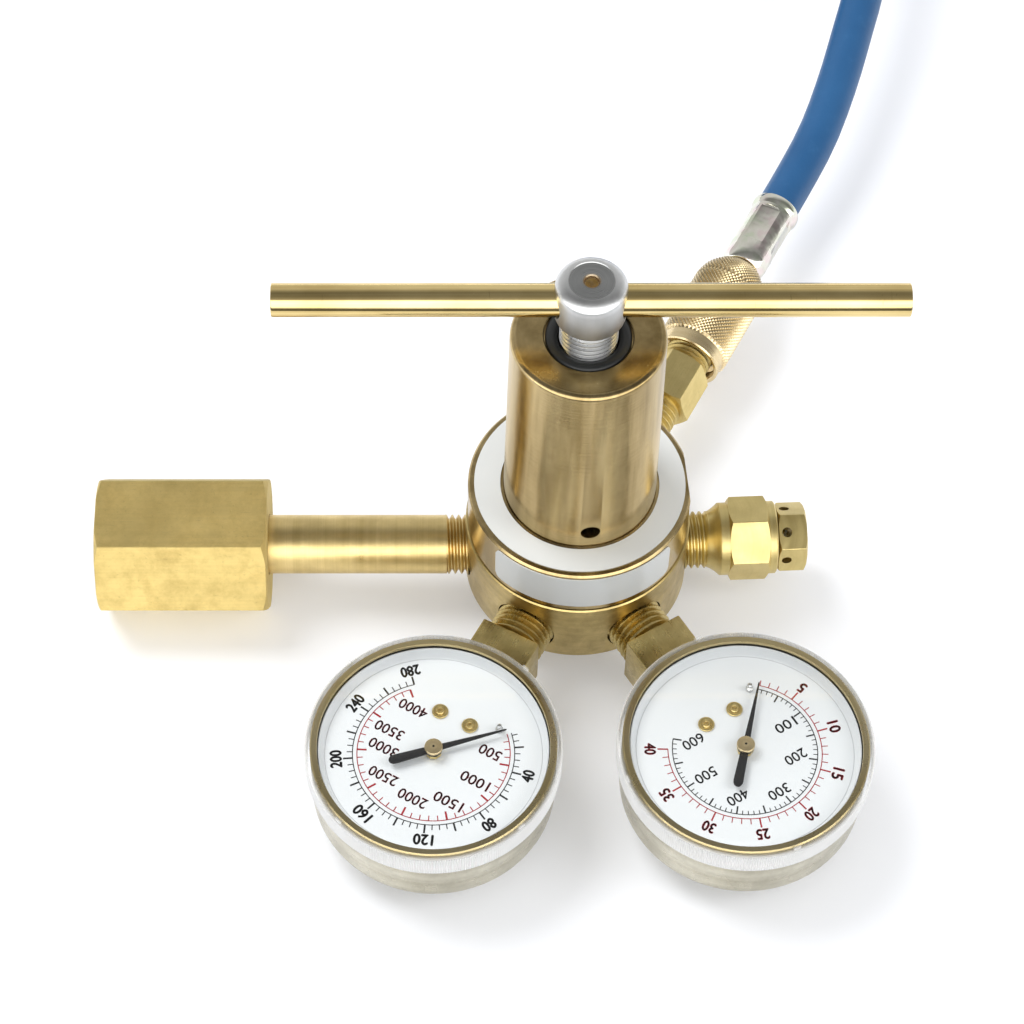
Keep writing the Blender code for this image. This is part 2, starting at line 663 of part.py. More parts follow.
def build_valve():
    flange_bottom_height = web_bottom - SEAT_GAP - SEAT_FLANGE_THICKNESS
    hub_top = well_floor - SEAT_GAP
    outline = [
        (SEAT_ORIFICE_RADIUS, hub_top),
        (SEAT_HUB_RADIUS, hub_top),
        (SEAT_HUB_RADIUS, web_bottom - SEAT_GAP),
        (SEAT_FLANGE_RADIUS, web_bottom - SEAT_GAP),
        (SEAT_FLANGE_RADIUS, flange_bottom_height),
        (SEAT_ORIFICE_RADIUS, flange_bottom_height),
    ]
    turned("valve_seat", outline, BRIGHT_BRASS)
    head_top = flange_bottom_height - SEAT_GAP
    head_low = head_top - POPPET_HEAD_THICKNESS
    pin_top = diaphragm_bottom - SEAT_GAP
    outline = [
        (0.0, pin_top),
        (POPPET_PIN_RADIUS, pin_top),
        (POPPET_PIN_RADIUS, head_top),
        (POPPET_HEAD_RADIUS, head_top),
        (POPPET_HEAD_RADIUS, head_low),
        (POPPET_TAIL_RADIUS, head_low),
        (POPPET_TAIL_RADIUS, head_low - POPPET_TAIL_LENGTH),
        (0.0, head_low - POPPET_TAIL_LENGTH),
    ]
    turned("poppet", outline, STEEL)
    coil_spring(
        "poppet_spring",
        None,
        POPPET_SPRING_RADIUS,
        POPPET_SPRING_WIRE,
        POPPET_SPRING_TURNS,
        CAP_POCKET_FLOOR + SEAT_GAP,
        head_low - SEAT_GAP,
        STEEL,
        SMALL_SPRING_STEPS,
        0,
    )


def build_diaphragm():
    disc(
        "diaphragm",
        diaphragm_radius,
        diaphragm_bottom,
        diaphragm_bottom + DIAPHRAGM_THICKNESS,
        RUBBER,
        steps=BODY_STEPS,
    )
    ring(
        "slip_ring",
        plate_radius + SLIP_RING_CLEARANCE,
        diaphragm_radius,
        slip_ring_bottom,
        slip_ring_bottom + SLIP_RING_THICKNESS,
        STEEL,
        steps=BODY_STEPS,
    )
    boss_radius = SPRING_RADIUS - SPRING_WIRE / 2 - SPRING_BOSS_CLEARANCE
    boss_top = plate_top + PLATE_BOSS_HEIGHT
    outline = [
        (0.0, boss_top),
        (boss_radius - SEAT_GAP, boss_top),
        (boss_radius, boss_top - SEAT_GAP),
        (boss_radius, plate_top),
        (plate_radius, plate_top),
        (plate_radius, plate_bottom),
        (0.0, plate_bottom),
    ]
    turned("diaphragm_plate", outline, ZINC)


def build_bonnet():
    mouth_radius = plate_radius + BONNET_MOUTH_CLEARANCE
    countersink_floor = screw_ring_radius + SEAT_GAP
    mouth_top = spigot_bottom + BONNET_MOUTH_DEPTH
    inner_top = bonnet_top - BONNET_TOP_THICKNESS
    crown = (bonnet_top_radius - BONNET_TOP_ROUNDING, bonnet_top - BONNET_TOP_ROUNDING)
    outline = [(countersink_floor + COUNTERSINK_FLARE, bonnet_top)]
    outline += arc(crown, BONNET_TOP_ROUNDING, 90, 0, CROWN_FACETS)
    outline += [
        (bonnet_base_radius, flange_top + BONNET_FOOT_FILLET),
        (bonnet_base_radius + BONNET_FOOT_FILLET, flange_top),
        (flange_radius - FLANGE_EDGE_CHAMFER, flange_top),
        (flange_radius, flange_top - FLANGE_EDGE_CHAMFER),
        (flange_radius, flange_bottom),
        (diaphragm_radius, flange_bottom),
        (diaphragm_radius, spigot_bottom),
        (mouth_radius, spigot_bottom),
        (mouth_radius, mouth_top),
        (bonnet_bore, mouth_top + BONNET_MOUTH_TAPER),
        (bonnet_bore, inner_top),
        (screw_hole_radius, inner_top),
        (screw_hole_radius, bonnet_top - COUNTERSINK_DEPTH),
        (countersink_floor, bonnet_top - COUNTERSINK_DEPTH),
    ]
    bonnet = turned("bonnet", outline, BRASS, None, BODY_STEPS)
    vent_height = flange_top + VENT_ABOVE_FLANGE
    place = Matrix.Translation((0.0, 0.0, vent_height)) @ Matrix.Rotation(VENT_AZIMUTH, 4, "Z")
    place = place @ Matrix.Rotation(math.pi / 2, 4, "Y")
    reach = bonnet_base_radius + VENT_RADIUS
    cut(bonnet, disc("vent", VENT_RADIUS, bonnet_bore / 2, reach, None, place))
    turn = Matrix.Rotation(FLANGE_FLAT_AZIMUTH, 4, "Z")
    low = (flange_radius - FLANGE_FLAT_DEPTH, -flange_radius, flange_bottom - SEAT_GAP)
    high = (2 * flange_radius, flange_radius, flange_top + SEAT_GAP)
    cut(bonnet, box("flange_flat", low, high, None, turn))
    low = bonnet_top - COUNTERSINK_DEPTH + SEAT_GAP
    crown = (screw_hole_radius + screw_ring_radius) / 2
    high = low + SCREW_RING_THICKNESS
    shoulder = high - SEAT_GAP
    outline = [
        (screw_hole_radius, shoulder),
        (crown - SEAT_GAP, high),
        (crown + SEAT_GAP, high),
        (screw_ring_radius, shoulder),
        (screw_ring_radius, low),
        (screw_hole_radius, low),
    ]
    turned("screw_ring", outline, RUBBER)


def build_labels():
    inner = bonnet_base_radius + 2 * BONNET_FOOT_FILLET
    outer = flange_radius - FLANGE_FLAT_DEPTH - LABEL_RING_BORDER
    low = flange_top + LABEL_GAP
    ring("label_ring", inner, outer, low, low + LABEL_THICKNESS, LABEL_WHITE, steps=BODY_STEPS)
    top = flange_top - LABEL_BAND_BELOW_TOP
    inside = flange_radius + LABEL_GAP
    mesh = bpy.data.meshes.new("label_band")
    points = []
    count = LABEL_BAND_FACETS
    for i in range(count + 1):
        angle = LABEL_BAND_START + (LABEL_BAND_END - LABEL_BAND_START) * i / count
        for height in (top - LABEL_BAND_HEIGHT, top):
            points.append((inside * math.cos(angle), inside * math.sin(angle), height))
    shape = bmesh.new()
    verts = [shape.verts.new(point) for point in points]
    for i in range(count):
        lower, upper = verts[2 * i], verts[2 * i + 1]
        next_lower, next_upper = verts[2 * i + 2], verts[2 * i + 3]
        shape.faces.new((lower, next_lower, next_upper, upper))
    shape.to_mesh(mesh)
    shape.free()
    band = add_object("label_band", mesh, LABEL_WHITE)
    wall = band.modifiers.new("thickness", "SOLIDIFY")
    wall.thickness = LABEL_THICKNESS
    wall.offset = 1.0


def build_adjuster():
    head_side_top = head_bottom + HEAD_BARREL
    head_top = head_side_top + HEAD_CROWN
    crown = []
    for i in range(1, CROWN_FACETS):
        angle = math.pi / 2 * (1 - i / CROWN_FACETS)
        wide = (HEAD_RADIUS - HEAD_DISC_RADIUS) * math.cos(angle)
        crown.append((HEAD_DISC_RADIUS + wide, head_side_top + HEAD_CROWN * math.sin(angle)))
    outline = [
        (0.0, head_top - HEAD_CENTRE_DEPTH),
        (HEAD_CENTRE_RADIUS, head_top - HEAD_CENTRE_DEPTH / 3),
        (HEAD_CENTRE_RADIUS, head_top),
        (HEAD_DISC_RADIUS, head_top),
        *crown,
        (HEAD_RADIUS, head_side_top),
        (HEAD_RADIUS, head_bottom + SCREW_TIP_CHAMFER),
        (HEAD_RADIUS - SCREW_TIP_CHAMFER, head_bottom),
        (SCREW_RADIUS, head_bottom),
        (SCREW_RADIUS, screw_tip + SCREW_TIP_CHAMFER),
        (SCREW_RADIUS - SCREW_TIP_CHAMFER, screw_tip),
        (0.0, screw_tip),
    ]
    screw = turned("adjusting_screw", outline, STEEL)
    across = Matrix.Translation((0.0, 0.0, bar_height)) @ Matrix.Rotation(math.pi / 2, 4, "Y")
    hole = BAR_RADIUS + SEAT_GAP
    cut(screw, disc("bar_hole", hole, -2 * HEAD_RADIUS, 2 * HEAD_RADIUS, None, across))
    end = BAR_LENGTH / 2
    outline = [
        (0.0, end),
        (BAR_RADIUS - BAR_END_CHAMFER, end),
        (BAR_RADIUS, end - BAR_END_CHAMFER),
        (BAR_RADIUS, BAR_END_CHAMFER - end),
        (BAR_RADIUS - BAR_END_CHAMFER, -end),
        (0.0, -end),
    ]
    turned("cross_bar", outline, BRIGHT_BRASS, across)
    boss_radius = SPRING_RADIUS - SPRING_WIRE / 2 - SPRING_BOSS_CLEARANCE
    button_radius = bonnet_bore - BUTTON_CLEARANCE
    button_low = button_top - BUTTON_THICKNESS
    outline = [
        (0.0, button_top),
        (BUTTON_RIM_RADIUS - BUTTON_RIM_HEIGHT, button_top),
        (BUTTON_RIM_RADIUS, button_top + BUTTON_RIM_HEIGHT),
        (BUTTON_RIM_RADIUS + BUTTON_RIM_HEIGHT, button_top + BUTTON_RIM_HEIGHT),
        (button_radius, button_top - BUTTON_RIM_HEIGHT),
        (button_radius, button_low),
        (boss_radius, button_low),
        (boss_radius, button_low - BUTTON_BOSS_HEIGHT),
        (0.0, button_low - BUTTON_BOSS_HEIGHT),
    ]
    turned("spring_button", outline, ZINC)
    coil_spring(
        "main_spring",
        None,
        SPRING_RADIUS,
        SPRING_WIRE,
        SPRING_TURNS,
        plate_top + SEAT_GAP,
        button_low - SEAT_GAP,
        STEEL,
    )


def build_inlet():
    frame = radial_frame(INLET_AZIMUTH)
    thread_end = body_radius + INLET_THREAD_SHOWN
    collar_start = nut_start + NUT_WALL + SEAT_GAP
    nose_start = collar_start + NIPPLE_COLLAR_LENGTH
    tip = nose_start + NIPPLE_NOSE_LENGTH
    filter_bore = FILTER_RADIUS + SEAT_GAP
    filter_floor = tip - FILTER_LENGTH - SEAT_GAP
    swell = NIPPLE_NOSE_RADIUS - NIPPLE_NOSE_TIP_RADIUS
    outline = [
        (filter_bore, tip),
        (NIPPLE_NOSE_TIP_RADIUS, tip),
        (NIPPLE_NOSE_TIP_RADIUS + 0.6 * swell, tip - NIPPLE_NOSE_TAPER / 2.4),
        (NIPPLE_NOSE_RADIUS, tip - NIPPLE_NOSE_TAPER),
        (NIPPLE_NOSE_RADIUS, nose_start),
        (NIPPLE_COLLAR_RADIUS, nose_start),
        (NIPPLE_COLLAR_RADIUS, collar_start),
        (INLET_TUBE_RADIUS, collar_start),
        (INLET_TUBE_RADIUS, thread_end + SEAT_GAP),
        (QUARTER_PIPE_RADIUS, thread_end),
        (QUARTER_PIPE_RADIUS, thread_inner_end),
        (INLET_BORE_RADIUS, thread_inner_end),
        (INLET_BORE_RADIUS, filter_floor),
        (filter_bore, filter_floor),
    ]
    turned("inlet_nipple", outline, BRASS, frame)
    disc("inlet_filter", FILTER_RADIUS, filter_floor + SEAT_GAP, tip, BRONZE, frame, PIN_STEPS)
    nut = chamfered_hexagon(
        "inlet_nut", NUT_ACROSS_FLATS, nut_start, nut_end, NUT_END_CHAMFER, NUT_ROLL, BRASS, frame
    )
    hole = INLET_TUBE_RADIUS + SEAT_GAP
    shoulder = nut_start + NUT_WALL
    outline = [
        (0.0, nut_end + NUT_WALL),
        (NUT_BORE_RADIUS + NUT_WALL + NUT_END_CHAMFER, nut_end + NUT_WALL),
        (NUT_BORE_RADIUS, nut_end - NUT_END_CHAMFER),
        (NUT_BORE_RADIUS, shoulder),
        (hole, shoulder),
        (hole, nut_start - NUT_WALL),
        (0.0, nut_start - NUT_WALL),
    ]
    cut(nut, turned("nut_bore", outline, None, frame))


def build_relief_valve():
    frame = radial_frame(RELIEF_AZIMUTH)
    hex_end = relief_hex_start + RELIEF_HEX_LENGTH
    thread_end = body_radius + RELIEF_THREAD_SHOWN
    neck_end = thread_end + RELIEF_NECK_LENGTH
    bore_floor = relief_collar_end - RELIEF_BORE_DEPTH
    outline = [
        (RELIEF_BORE_RADIUS, relief_collar_end),
        (RELIEF_DISC_RADIUS, relief_collar_end),
        (RELIEF_DISC_RADIUS, neck_end + RELIEF_CONE_LENGTH),
        (RELIEF_NECK_RADIUS + SEAT_GAP, neck_end),
        (RELIEF_NECK_RADIUS, thread_end),
        (RELIEF_THREAD_RADIUS, thread_end - SEAT_GAP),
        (RELIEF_THREAD_RADIUS, thread_inner_end),
        (RELIEF_PASSAGE_RADIUS, thread_inner_end),
        (RELIEF_PASSAGE_RADIUS, bore_floor),
        (RELIEF_BORE_RADIUS, bore_floor),
    ]
    body = turned("relief_body", outline, BRIGHT_BRASS, frame)
    hexagon = chamfered_hexagon(
        "relief_hexagon",
        RELIEF_ACROSS_FLATS,
        relief_hex_start,
        hex_end,
        RELIEF_HEX_CHAMFER,
        RELIEF_HEX_ROLL,
        None,
        frame,
    )
    low = relief_hex_start - RELIEF_COLLAR_LENGTH
    cut(hexagon, disc("relief_hexagon_bore", RELIEF_BORE_RADIUS + SEAT_GAP, low, relief_collar_end, None, frame))
    join(body, hexagon)

    cap_start = relief_collar_end + SEAT_GAP
    cap_end = cap_start + RELIEF_CAP_LENGTH
    cap = chamfered_hexagon(
        "relief_cap",
        RELIEF_CAP_ACROSS_FLATS,
        cap_start,
        cap_end,
        RELIEF_CAP_CHAMFER,
        RELIEF_CAP_ROLL,
        BRIGHT_BRASS,
        frame,
    )
    spigot_radius = RELIEF_BORE_RADIUS - SEAT_GAP
    spigot_start = cap_start - RELIEF_CAP_SPIGOT
    middle = (cap_start + cap_end) / 2
    join(cap, disc("relief_spigot", spigot_radius, spigot_start, middle, None, frame))
    cavity_end = cap_end - RELIEF_CAP_END_WALL
    low = spigot_start - RELIEF_CAP_END_WALL
    cavity_radius = spigot_radius - RELIEF_CAP_WALL
    cut(cap, disc("relief_cavity", cavity_radius, low, cavity_end, None, frame))
    reach = RELIEF_CAP_ACROSS_FLATS
    for i in range(3):
        turn = Matrix.Rotation(RELIEF_CAP_ROLL + math.radians(30 + 60 * i), 4, "Z")
        place = frame @ Matrix.Translation((0.0, 0.0, cap_start + RELIEF_VENT_SETBACK)) @ turn
        place = place @ Matrix.Rotation(math.pi / 2, 4, "Y")
        cut(cap, disc(f"relief_vent_{i}", RELIEF_VENT_RADIUS, -reach, reach, None, place, PIN_STEPS))

    poppet_low = bore_floor + SEAT_GAP
    poppet_high = poppet_low + RELIEF_POPPET_THICKNESS
    stem_end = poppet_high + RELIEF_POPPET_STEM
    outline = [
        (0.0, stem_end),
        (RELIEF_POPPET_STEM_RADIUS, stem_end),
        (RELIEF_POPPET_STEM_RADIUS, poppet_high),
        (RELIEF_BORE_RADIUS - SEAT_GAP, poppet_high),
        (RELIEF_BORE_RADIUS - SEAT_GAP, poppet_low),
        (0.0, poppet_low),
    ]
    turned("relief_poppet", outline, BRIGHT_BRASS, frame)
    coil_spring(
        "relief_spring",
        frame,
        cavity_radius - RELIEF_SPRING_CLEARANCE - RELIEF_SPRING_WIRE / 2,
        RELIEF_SPRING_WIRE,
        RELIEF_SPRING_TURNS,
        poppet_high + SEAT_GAP,
        cavity_end - RELIEF_TRAVEL - SEAT_GAP,
        STEEL,
        SMALL_SPRING_STEPS,
        0,
    )


def build_gauge_case(side, frame):
    back = CASE_BACK + CASE_WALL
    corner = (CASE_RADIUS - CASE_CORNER, CASE_BACK + CASE_CORNER)
    lip_radius = case_inside - CASE_LIP
    outline = [(0.0, back)]
    outline += arc(corner, CASE_CORNER - CASE_WALL, -90, 0, CROWN_FACETS)
    outline += [
        (case_inside, CASE_RIM - CASE_WALL),
        (lip_radius, CASE_RIM - CASE_WALL),
        (lip_radius, CASE_RIM),
        (CASE_RADIUS - CASE_WALL / 2, CASE_RIM),
        (CASE_RADIUS, CASE_RIM - CASE_WALL / 2),
    ]
    outline += arc(corner, CASE_CORNER, 0, -90, CROWN_FACETS)
    outline.append((0.0, CASE_BACK))
    case = turned(side + "_gauge_case", outline, DULL_BRASS, frame, GAUGE_STEPS)
    half = STEM_SIDE / 2 + SEAT_GAP
    low = (CASE_RADIUS - CASE_CORNER, -half, -half)
    high = (CASE_RADIUS + CASE_CORNER, half, half)
    cut(case, box(side + "_case_slot", low, high, None, frame))

    window_low = lens_top - LENS_THICKNESS
    outline = [
        (0.0, lens_top),
        (lens_window_radius, lens_top),
        (lens_radius - SEAT_GAP, lens_shoulder),
        (lens_radius, lens_shoulder - 2 * SEAT_GAP),
        (lens_radius, lens_skirt_bottom),
        (lens_skirt_inside, lens_skirt_bottom),
        (lens_skirt_inside, CASE_RIM + SEAT_GAP),
        (lens_window_radius, window_low),
        (0.0, window_low),
    ]
    lens = turned(side + "_gauge_lens", outline, CLEAR, frame, GAUGE_STEPS)
    # The stem leaves under the lens skirt, so the skirt is notched over it.
    low = (CASE_RADIUS - CASE_CORNER, -half, lens_skirt_bottom - CASE_WALL)
    high = (lens_radius + CASE_CORNER, half, half)
    cut(lens, box(side + "_lens_notch", low, high, None, frame))


def build_gauge_inside(side, frame, distance):
    along = frame @ Matrix.Rotation(math.pi / 2, 4, "Y")
    square_start = distance - stem_square_start
    inside = dial_radius
    stem = prism(side + "_gauge_stem", STEM_SIDE, 4, inside, square_start, math.pi / 4, BRASS, along)
    thread_end = distance - port_inner_end - SEAT_GAP
    thread = disc(side + "_stem_thread", QUARTER_PIPE_RADIUS, inside, thread_end, None, along)
    join(stem, thread)
    half = STEM_SIDE / 2 - SEAT_GAP
    overlap = inside + CASE_WALL
    low = (SOCKET_INNER_END, -half, SOCKET_BOTTOM)
    join(stem, box(side + "_socket", low, (overlap, half, SOCKET_TOP), None, frame))
    tongue_half = half - CASE_WALL
    low = (TONGUE_END, -tongue_half, SOCKET_BOTTOM)
    high = (SOCKET_INNER_END + CASE_WALL, tongue_half, SOCKET_BOTTOM + TONGUE_THICKNESS)
    join(stem, box(side + "_tongue", low, high, None, frame))

    # Bourdon tube: a round tube bent to a C and flattened, rooted beside the socket
    root_angle = math.asin((STEM_SIDE / 2 + SEAT_GAP) / bourdon_radius)
    count = BOURDON_FACETS
    points = []
    for i in range(count + 1):
        angle = root_angle + BOURDON_SWEEP * i / count
        points.append((bourdon_radius * math.cos(angle), bourdon_radius * math.sin(angle), 0.0))
    curve = wire(side + "_bourdon_tube", points, BOURDON_HALF_WIDTH)
    flatten = Matrix.Diagonal((1.0, 1.0, BOURDON_HALF_HEIGHT / BOURDON_HALF_WIDTH, 1.0))
    place = frame @ Matrix.Translation((0.0, 0.0, BOURDON_HEIGHT)) @ flatten
    add_object(curve.name, curve, BRIGHT_BRASS, place)

    # Movement: two plates on two pillars, which also take the dial screws
    plate_low = SOCKET_BOTTOM + TONGUE_THICKNESS + SEAT_GAP
    plate_high = plate_low + MOVEMENT_PLATE
    reach = SOCKET_INNER_END - SEAT_GAP
    low = (MOVEMENT_END, -MOVEMENT_HALF_WIDTH, plate_low)
    movement = box(side + "_movement", low, (reach, MOVEMENT_HALF_WIDTH, plate_high), DULL_BRASS, frame)
    top_low = MOVEMENT_TOP_PLATE
    low = (MOVEMENT_END, -MOVEMENT_HALF_WIDTH, top_low)
    high = (reach, MOVEMENT_HALF_WIDTH, top_low + MOVEMENT_PLATE)
    join(movement, box(side + "_top_plate", low, high, None, frame))
    pillar_top = DIAL_TOP - DIAL_THICKNESS - SEAT_GAP
    arbor_hole = ARBOR_RADIUS + SEAT_GAP
    shank_hole = DIAL_SCREW_SHANK_RADIUS + SEAT_GAP
    shank_floor = pillar_top - DIAL_SCREW_SHANK_LENGTH
    for number, sign in enumerate((-1, 1)):
        angle = sign * DIAL_SCREW_ANGLE
        x = DIAL_SCREW_DISTANCE * math.cos(angle)
        y = DIAL_SCREW_DISTANCE * math.sin(angle)
        place = frame @ Matrix.Translation((x, y, 0.0))
        pillar_name = f"{side}_pillar_{number}"
        join(movement, disc(pillar_name, PILLAR_RADIUS, plate_low, pillar_top, None, place, PIN_STEPS))
        hole_top = pillar_top + SEAT_GAP
        hole_name = f"{side}_pillar_hole_{number}"
        cut(movement, disc(hole_name, shank_hole, shank_floor, hole_top, None, place, PIN_STEPS))
    low = plate_low - SEAT_GAP
    high = top_low + MOVEMENT_PLATE + SEAT_GAP
    cut(movement, disc(side + "_arbor_hole", arbor_hole, low, high, None, frame, PIN_STEPS))


def build_dial(side, frame, pin_angle):
    low = DIAL_TOP - DIAL_THICKNESS
    dial = disc(side + "_gauge_dial", dial_radius, low, DIAL_TOP, DIAL_WHITE, frame, GAUGE_STEPS)
    head_low = DIAL_TOP + SEAT_GAP
    shank_radius = DIAL_SCREW_SHANK_RADIUS
    below = low - SEAT_GAP
    above = DIAL_TOP + SEAT_GAP
    hole = ARBOR_RADIUS + 2 * SEAT_GAP
    cut(dial, disc(side + "_dial_centre_hole", hole, below, above, None, frame, PIN_STEPS))
    for number, sign in enumerate((-1, 1)):
        angle = sign * DIAL_SCREW_ANGLE
        x = DIAL_SCREW_DISTANCE * math.cos(angle)
        y = DIAL_SCREW_DISTANCE * math.sin(angle)
        place = frame @ Matrix.Translation((x, y, 0.0))
        hole_name = f"{side}_dial_screw_hole_{number}"
        cut(dial, disc(hole_name, shank_radius + SEAT_GAP, below, above, None, place, PIN_STEPS))
        head_top = head_low + DIAL_SCREW_HEAD_HEIGHT
        shank_end = low - DIAL_SCREW_SHANK_LENGTH
        outline = [
            (0.0, head_top),
            (0.6 * DIAL_SCREW_HEAD_RADIUS, head_top),
            (DIAL_SCREW_HEAD_RADIUS, head_low + 0.5 * DIAL_SCREW_HEAD_HEIGHT),
            (DIAL_SCREW_HEAD_RADIUS, head_low),
            (shank_radius, head_low),
            (shank_radius, shank_end),
            (0.0, shank_end),
        ]
        turned(f"{side}_dial_screw_{number + 1}", outline, BRIGHT_BRASS, place, PIN_STEPS)
    x = pin_distance * math.cos(pin_angle)
    y = pin_distance * math.sin(pin_angle)
    place = frame @ Matrix.Translation((x, y, 0.0))
    low = DIAL_TOP + LABEL_GAP
    disc(side + "_stop_pin", STOP_PIN_RADIUS, low, low + STOP_PIN_HEIGHT, STEEL, place, PIN_STEPS)


def build_pointer(side, frame, angle):
    turn = frame @ Matrix.Rotation(angle, 4, "Z")
    low = DIAL_TOP + POINTER_LIFT
    middle = low + POINTER_THICKNESS / 2
    curve = bpy.data.curves.new(side + "_pointer", "CURVE")
    curve.dimensions = "2D"
    curve.fill_mode = "BOTH"
    curve.extrude = POINTER_THICKNESS / 2
    arm = POINTER_ARM_HALF_WIDTH
    tail = POINTER_TAIL_HALF_WIDTH
    upper = [
        (POINTER_TIP - arm / 2, arm / 5),
        (arm, arm),
        (tail - POINTER_TAIL, tail),
        (tail / 3 - POINTER_TAIL, tail * 3 / 4),
        (-POINTER_TAIL, tail / 4),
    ]
    lower = [(x, -y) for x, y in reversed(upper)]
    outline = [(POINTER_TIP, 0.0)] + upper + lower
    spline = curve.splines.new("POLY")
    spline.points.add(len(outline) - 1)
    for point, (x, y) in zip(spline.points, outline):
        point.co = (x, y, 0.0, 1.0)
    spline.use_cyclic_u = True
    flat = add_object(side + "_pointer_flat", curve)
    bpy.context.view_layer.update()
    graph = bpy.context.evaluated_depsgraph_get()
    mesh = bpy.data.meshes.new_from_object(flat.evaluated_get(graph))
    bpy.data.objects.remove(flat, do_unlink=True)
    shape = bmesh.new()
    shape.from_mesh(mesh)
    bmesh.ops.remove_doubles(shape, verts=shape.verts, dist=0.000001)
    bmesh.ops.recalc_face_normals(shape, faces=shape.faces)
    shape.to_mesh(mesh)
    shape.free()
    place = turn @ Matrix.Translation((0.0, 0.0, middle))
    pointer = add_object(side + "_pointer", mesh, POINTER_BLACK, place)
    eye = disc(
        side + "_pointer_eye",
        HUB_RADIUS,
        -POINTER_THICKNESS / 2,
        POINTER_THICKNESS / 2,
        None,
        place,
    )
    join(pointer, eye)
    hole = ARBOR_RADIUS + SEAT_GAP
    reach = POINTER_THICKNESS
    cut(pointer, disc(side + "_pointer_hole", hole, -reach, reach, None, place, PIN_STEPS))

    hub_low = low + POINTER_THICKNESS + SEAT_GAP
    hub_top = hub_low + HUB_HEIGHT
    pinion_top = PINION_BOTTOM + PINION_HEIGHT
    foot = SOCKET_BOTTOM + TONGUE_THICKNESS + SEAT_GAP
    outline = [
        (0.0, hub_top),
        (0.8 * HUB_RADIUS, hub_top),
        (HUB_RADIUS, hub_top - 0.4 * HUB_HEIGHT),
        (HUB_RADIUS, hub_low),
        (ARBOR_RADIUS, hub_low),
        (ARBOR_RADIUS, low - SEAT_GAP),
        (POINTER_COLLAR_RADIUS, low - SEAT_GAP),
        (POINTER_COLLAR_RADIUS, DIAL_TOP + SEAT_GAP),
        (ARBOR_RADIUS, DIAL_TOP + SEAT_GAP),
        (ARBOR_RADIUS, pinion_top),
        (PINION_RADIUS, pinion_top),
        (PINION_RADIUS, PINION_BOTTOM),
        (ARBOR_RADIUS, PINION_BOTTOM),
        (ARBOR_RADIUS, foot),
        (0.0, foot),
    ]
    turned(side + "_arbor", outline, BRIGHT_BRASS, turn, PIN_STEPS)


def build_gauge(side, stem_shown, azimuth, pointer_azimuth, pin_azimuth):
    # In the gauge's own frame +X points at the valve body along the stem.
    distance = stem_square_start + stem_shown + CASE_RADIUS
    centre = Vector((distance * math.cos(azimuth), distance * math.sin(azimuth), port_height))
    towards_body = azimuth + math.pi
    frame = Matrix.Translation(centre) @ Matrix.Rotation(towards_body, 4, "Z")
    build_gauge_case(side, frame)
    build_gauge_inside(side, frame, distance)
    build_dial(side, frame, pin_azimuth - towards_body)
    build_pointer(side, frame, pointer_azimuth - towards_body)


def build_outlet():
    frame = radial_frame(OUTLET_AZIMUTH)
    hex_start = body_radius + 2 * SEAT_GAP
    hex_end = hex_start + BUSHING_HEX_LENGTH
    bushing = chamfered_hexagon(
        "outlet_bushing", BUSHING_ACROSS_FLATS, hex_start, hex_end, ADAPTER_HEX_CHAMFER, 0.0, BRASS, frame
    )
    overlap = hex_start + BUSHING_HEX_LENGTH / 2
    join(bushing, disc("bushing_thread", QUARTER_PIPE_RADIUS, thread_inner_end, overlap, None, frame))
    bore = ADAPTER_THREAD_RADIUS + SEAT_GAP
    low = thread_inner_end - BUSHING_HEX_LENGTH
    high = hex_end + BUSHING_HEX_LENGTH
    cut(bushing, disc("bushing_bore", bore, low, high, None, frame))

    adapter = chamfered_hexagon(
        "outlet_adapter",
        ADAPTER_ACROSS_FLATS,
        adapter_hex_start,
        adapter_hex_end,
        ADAPTER_HEX_CHAMFER,
        ADAPTER_HEX_ROLL,
        BRASS,
        frame,
    )
    middle = (adapter_hex_start + adapter_hex_end) / 2
    adapter_start = body_radius - ADAPTER_THREAD_INSIDE
    join(adapter, disc("adapter_thread", ADAPTER_THREAD_RADIUS, adapter_start, middle, None, frame))
    flare_end = adapter_hex_end + FLARE_THREAD_LENGTH
    outline = [
        (0.0, flare_nose_end),
        (FLARE_NOSE_RADIUS, flare_nose_end),
        (FLARE_THREAD_RADIUS, flare_end),
        (FLARE_THREAD_RADIUS, middle),
        (0.0, middle),
    ]
    join(adapter, turned("adapter_flare", outline, None, frame))
    low = adapter_start - ADAPTER_HEX_LENGTH
    high = flare_nose_end + ADAPTER_HEX_LENGTH
    cut(adapter, disc("adapter_bore", ADAPTER_BORE_RADIUS, low, high, None, frame, PIN_STEPS))
    build_hose_fitting("outlet", frame)


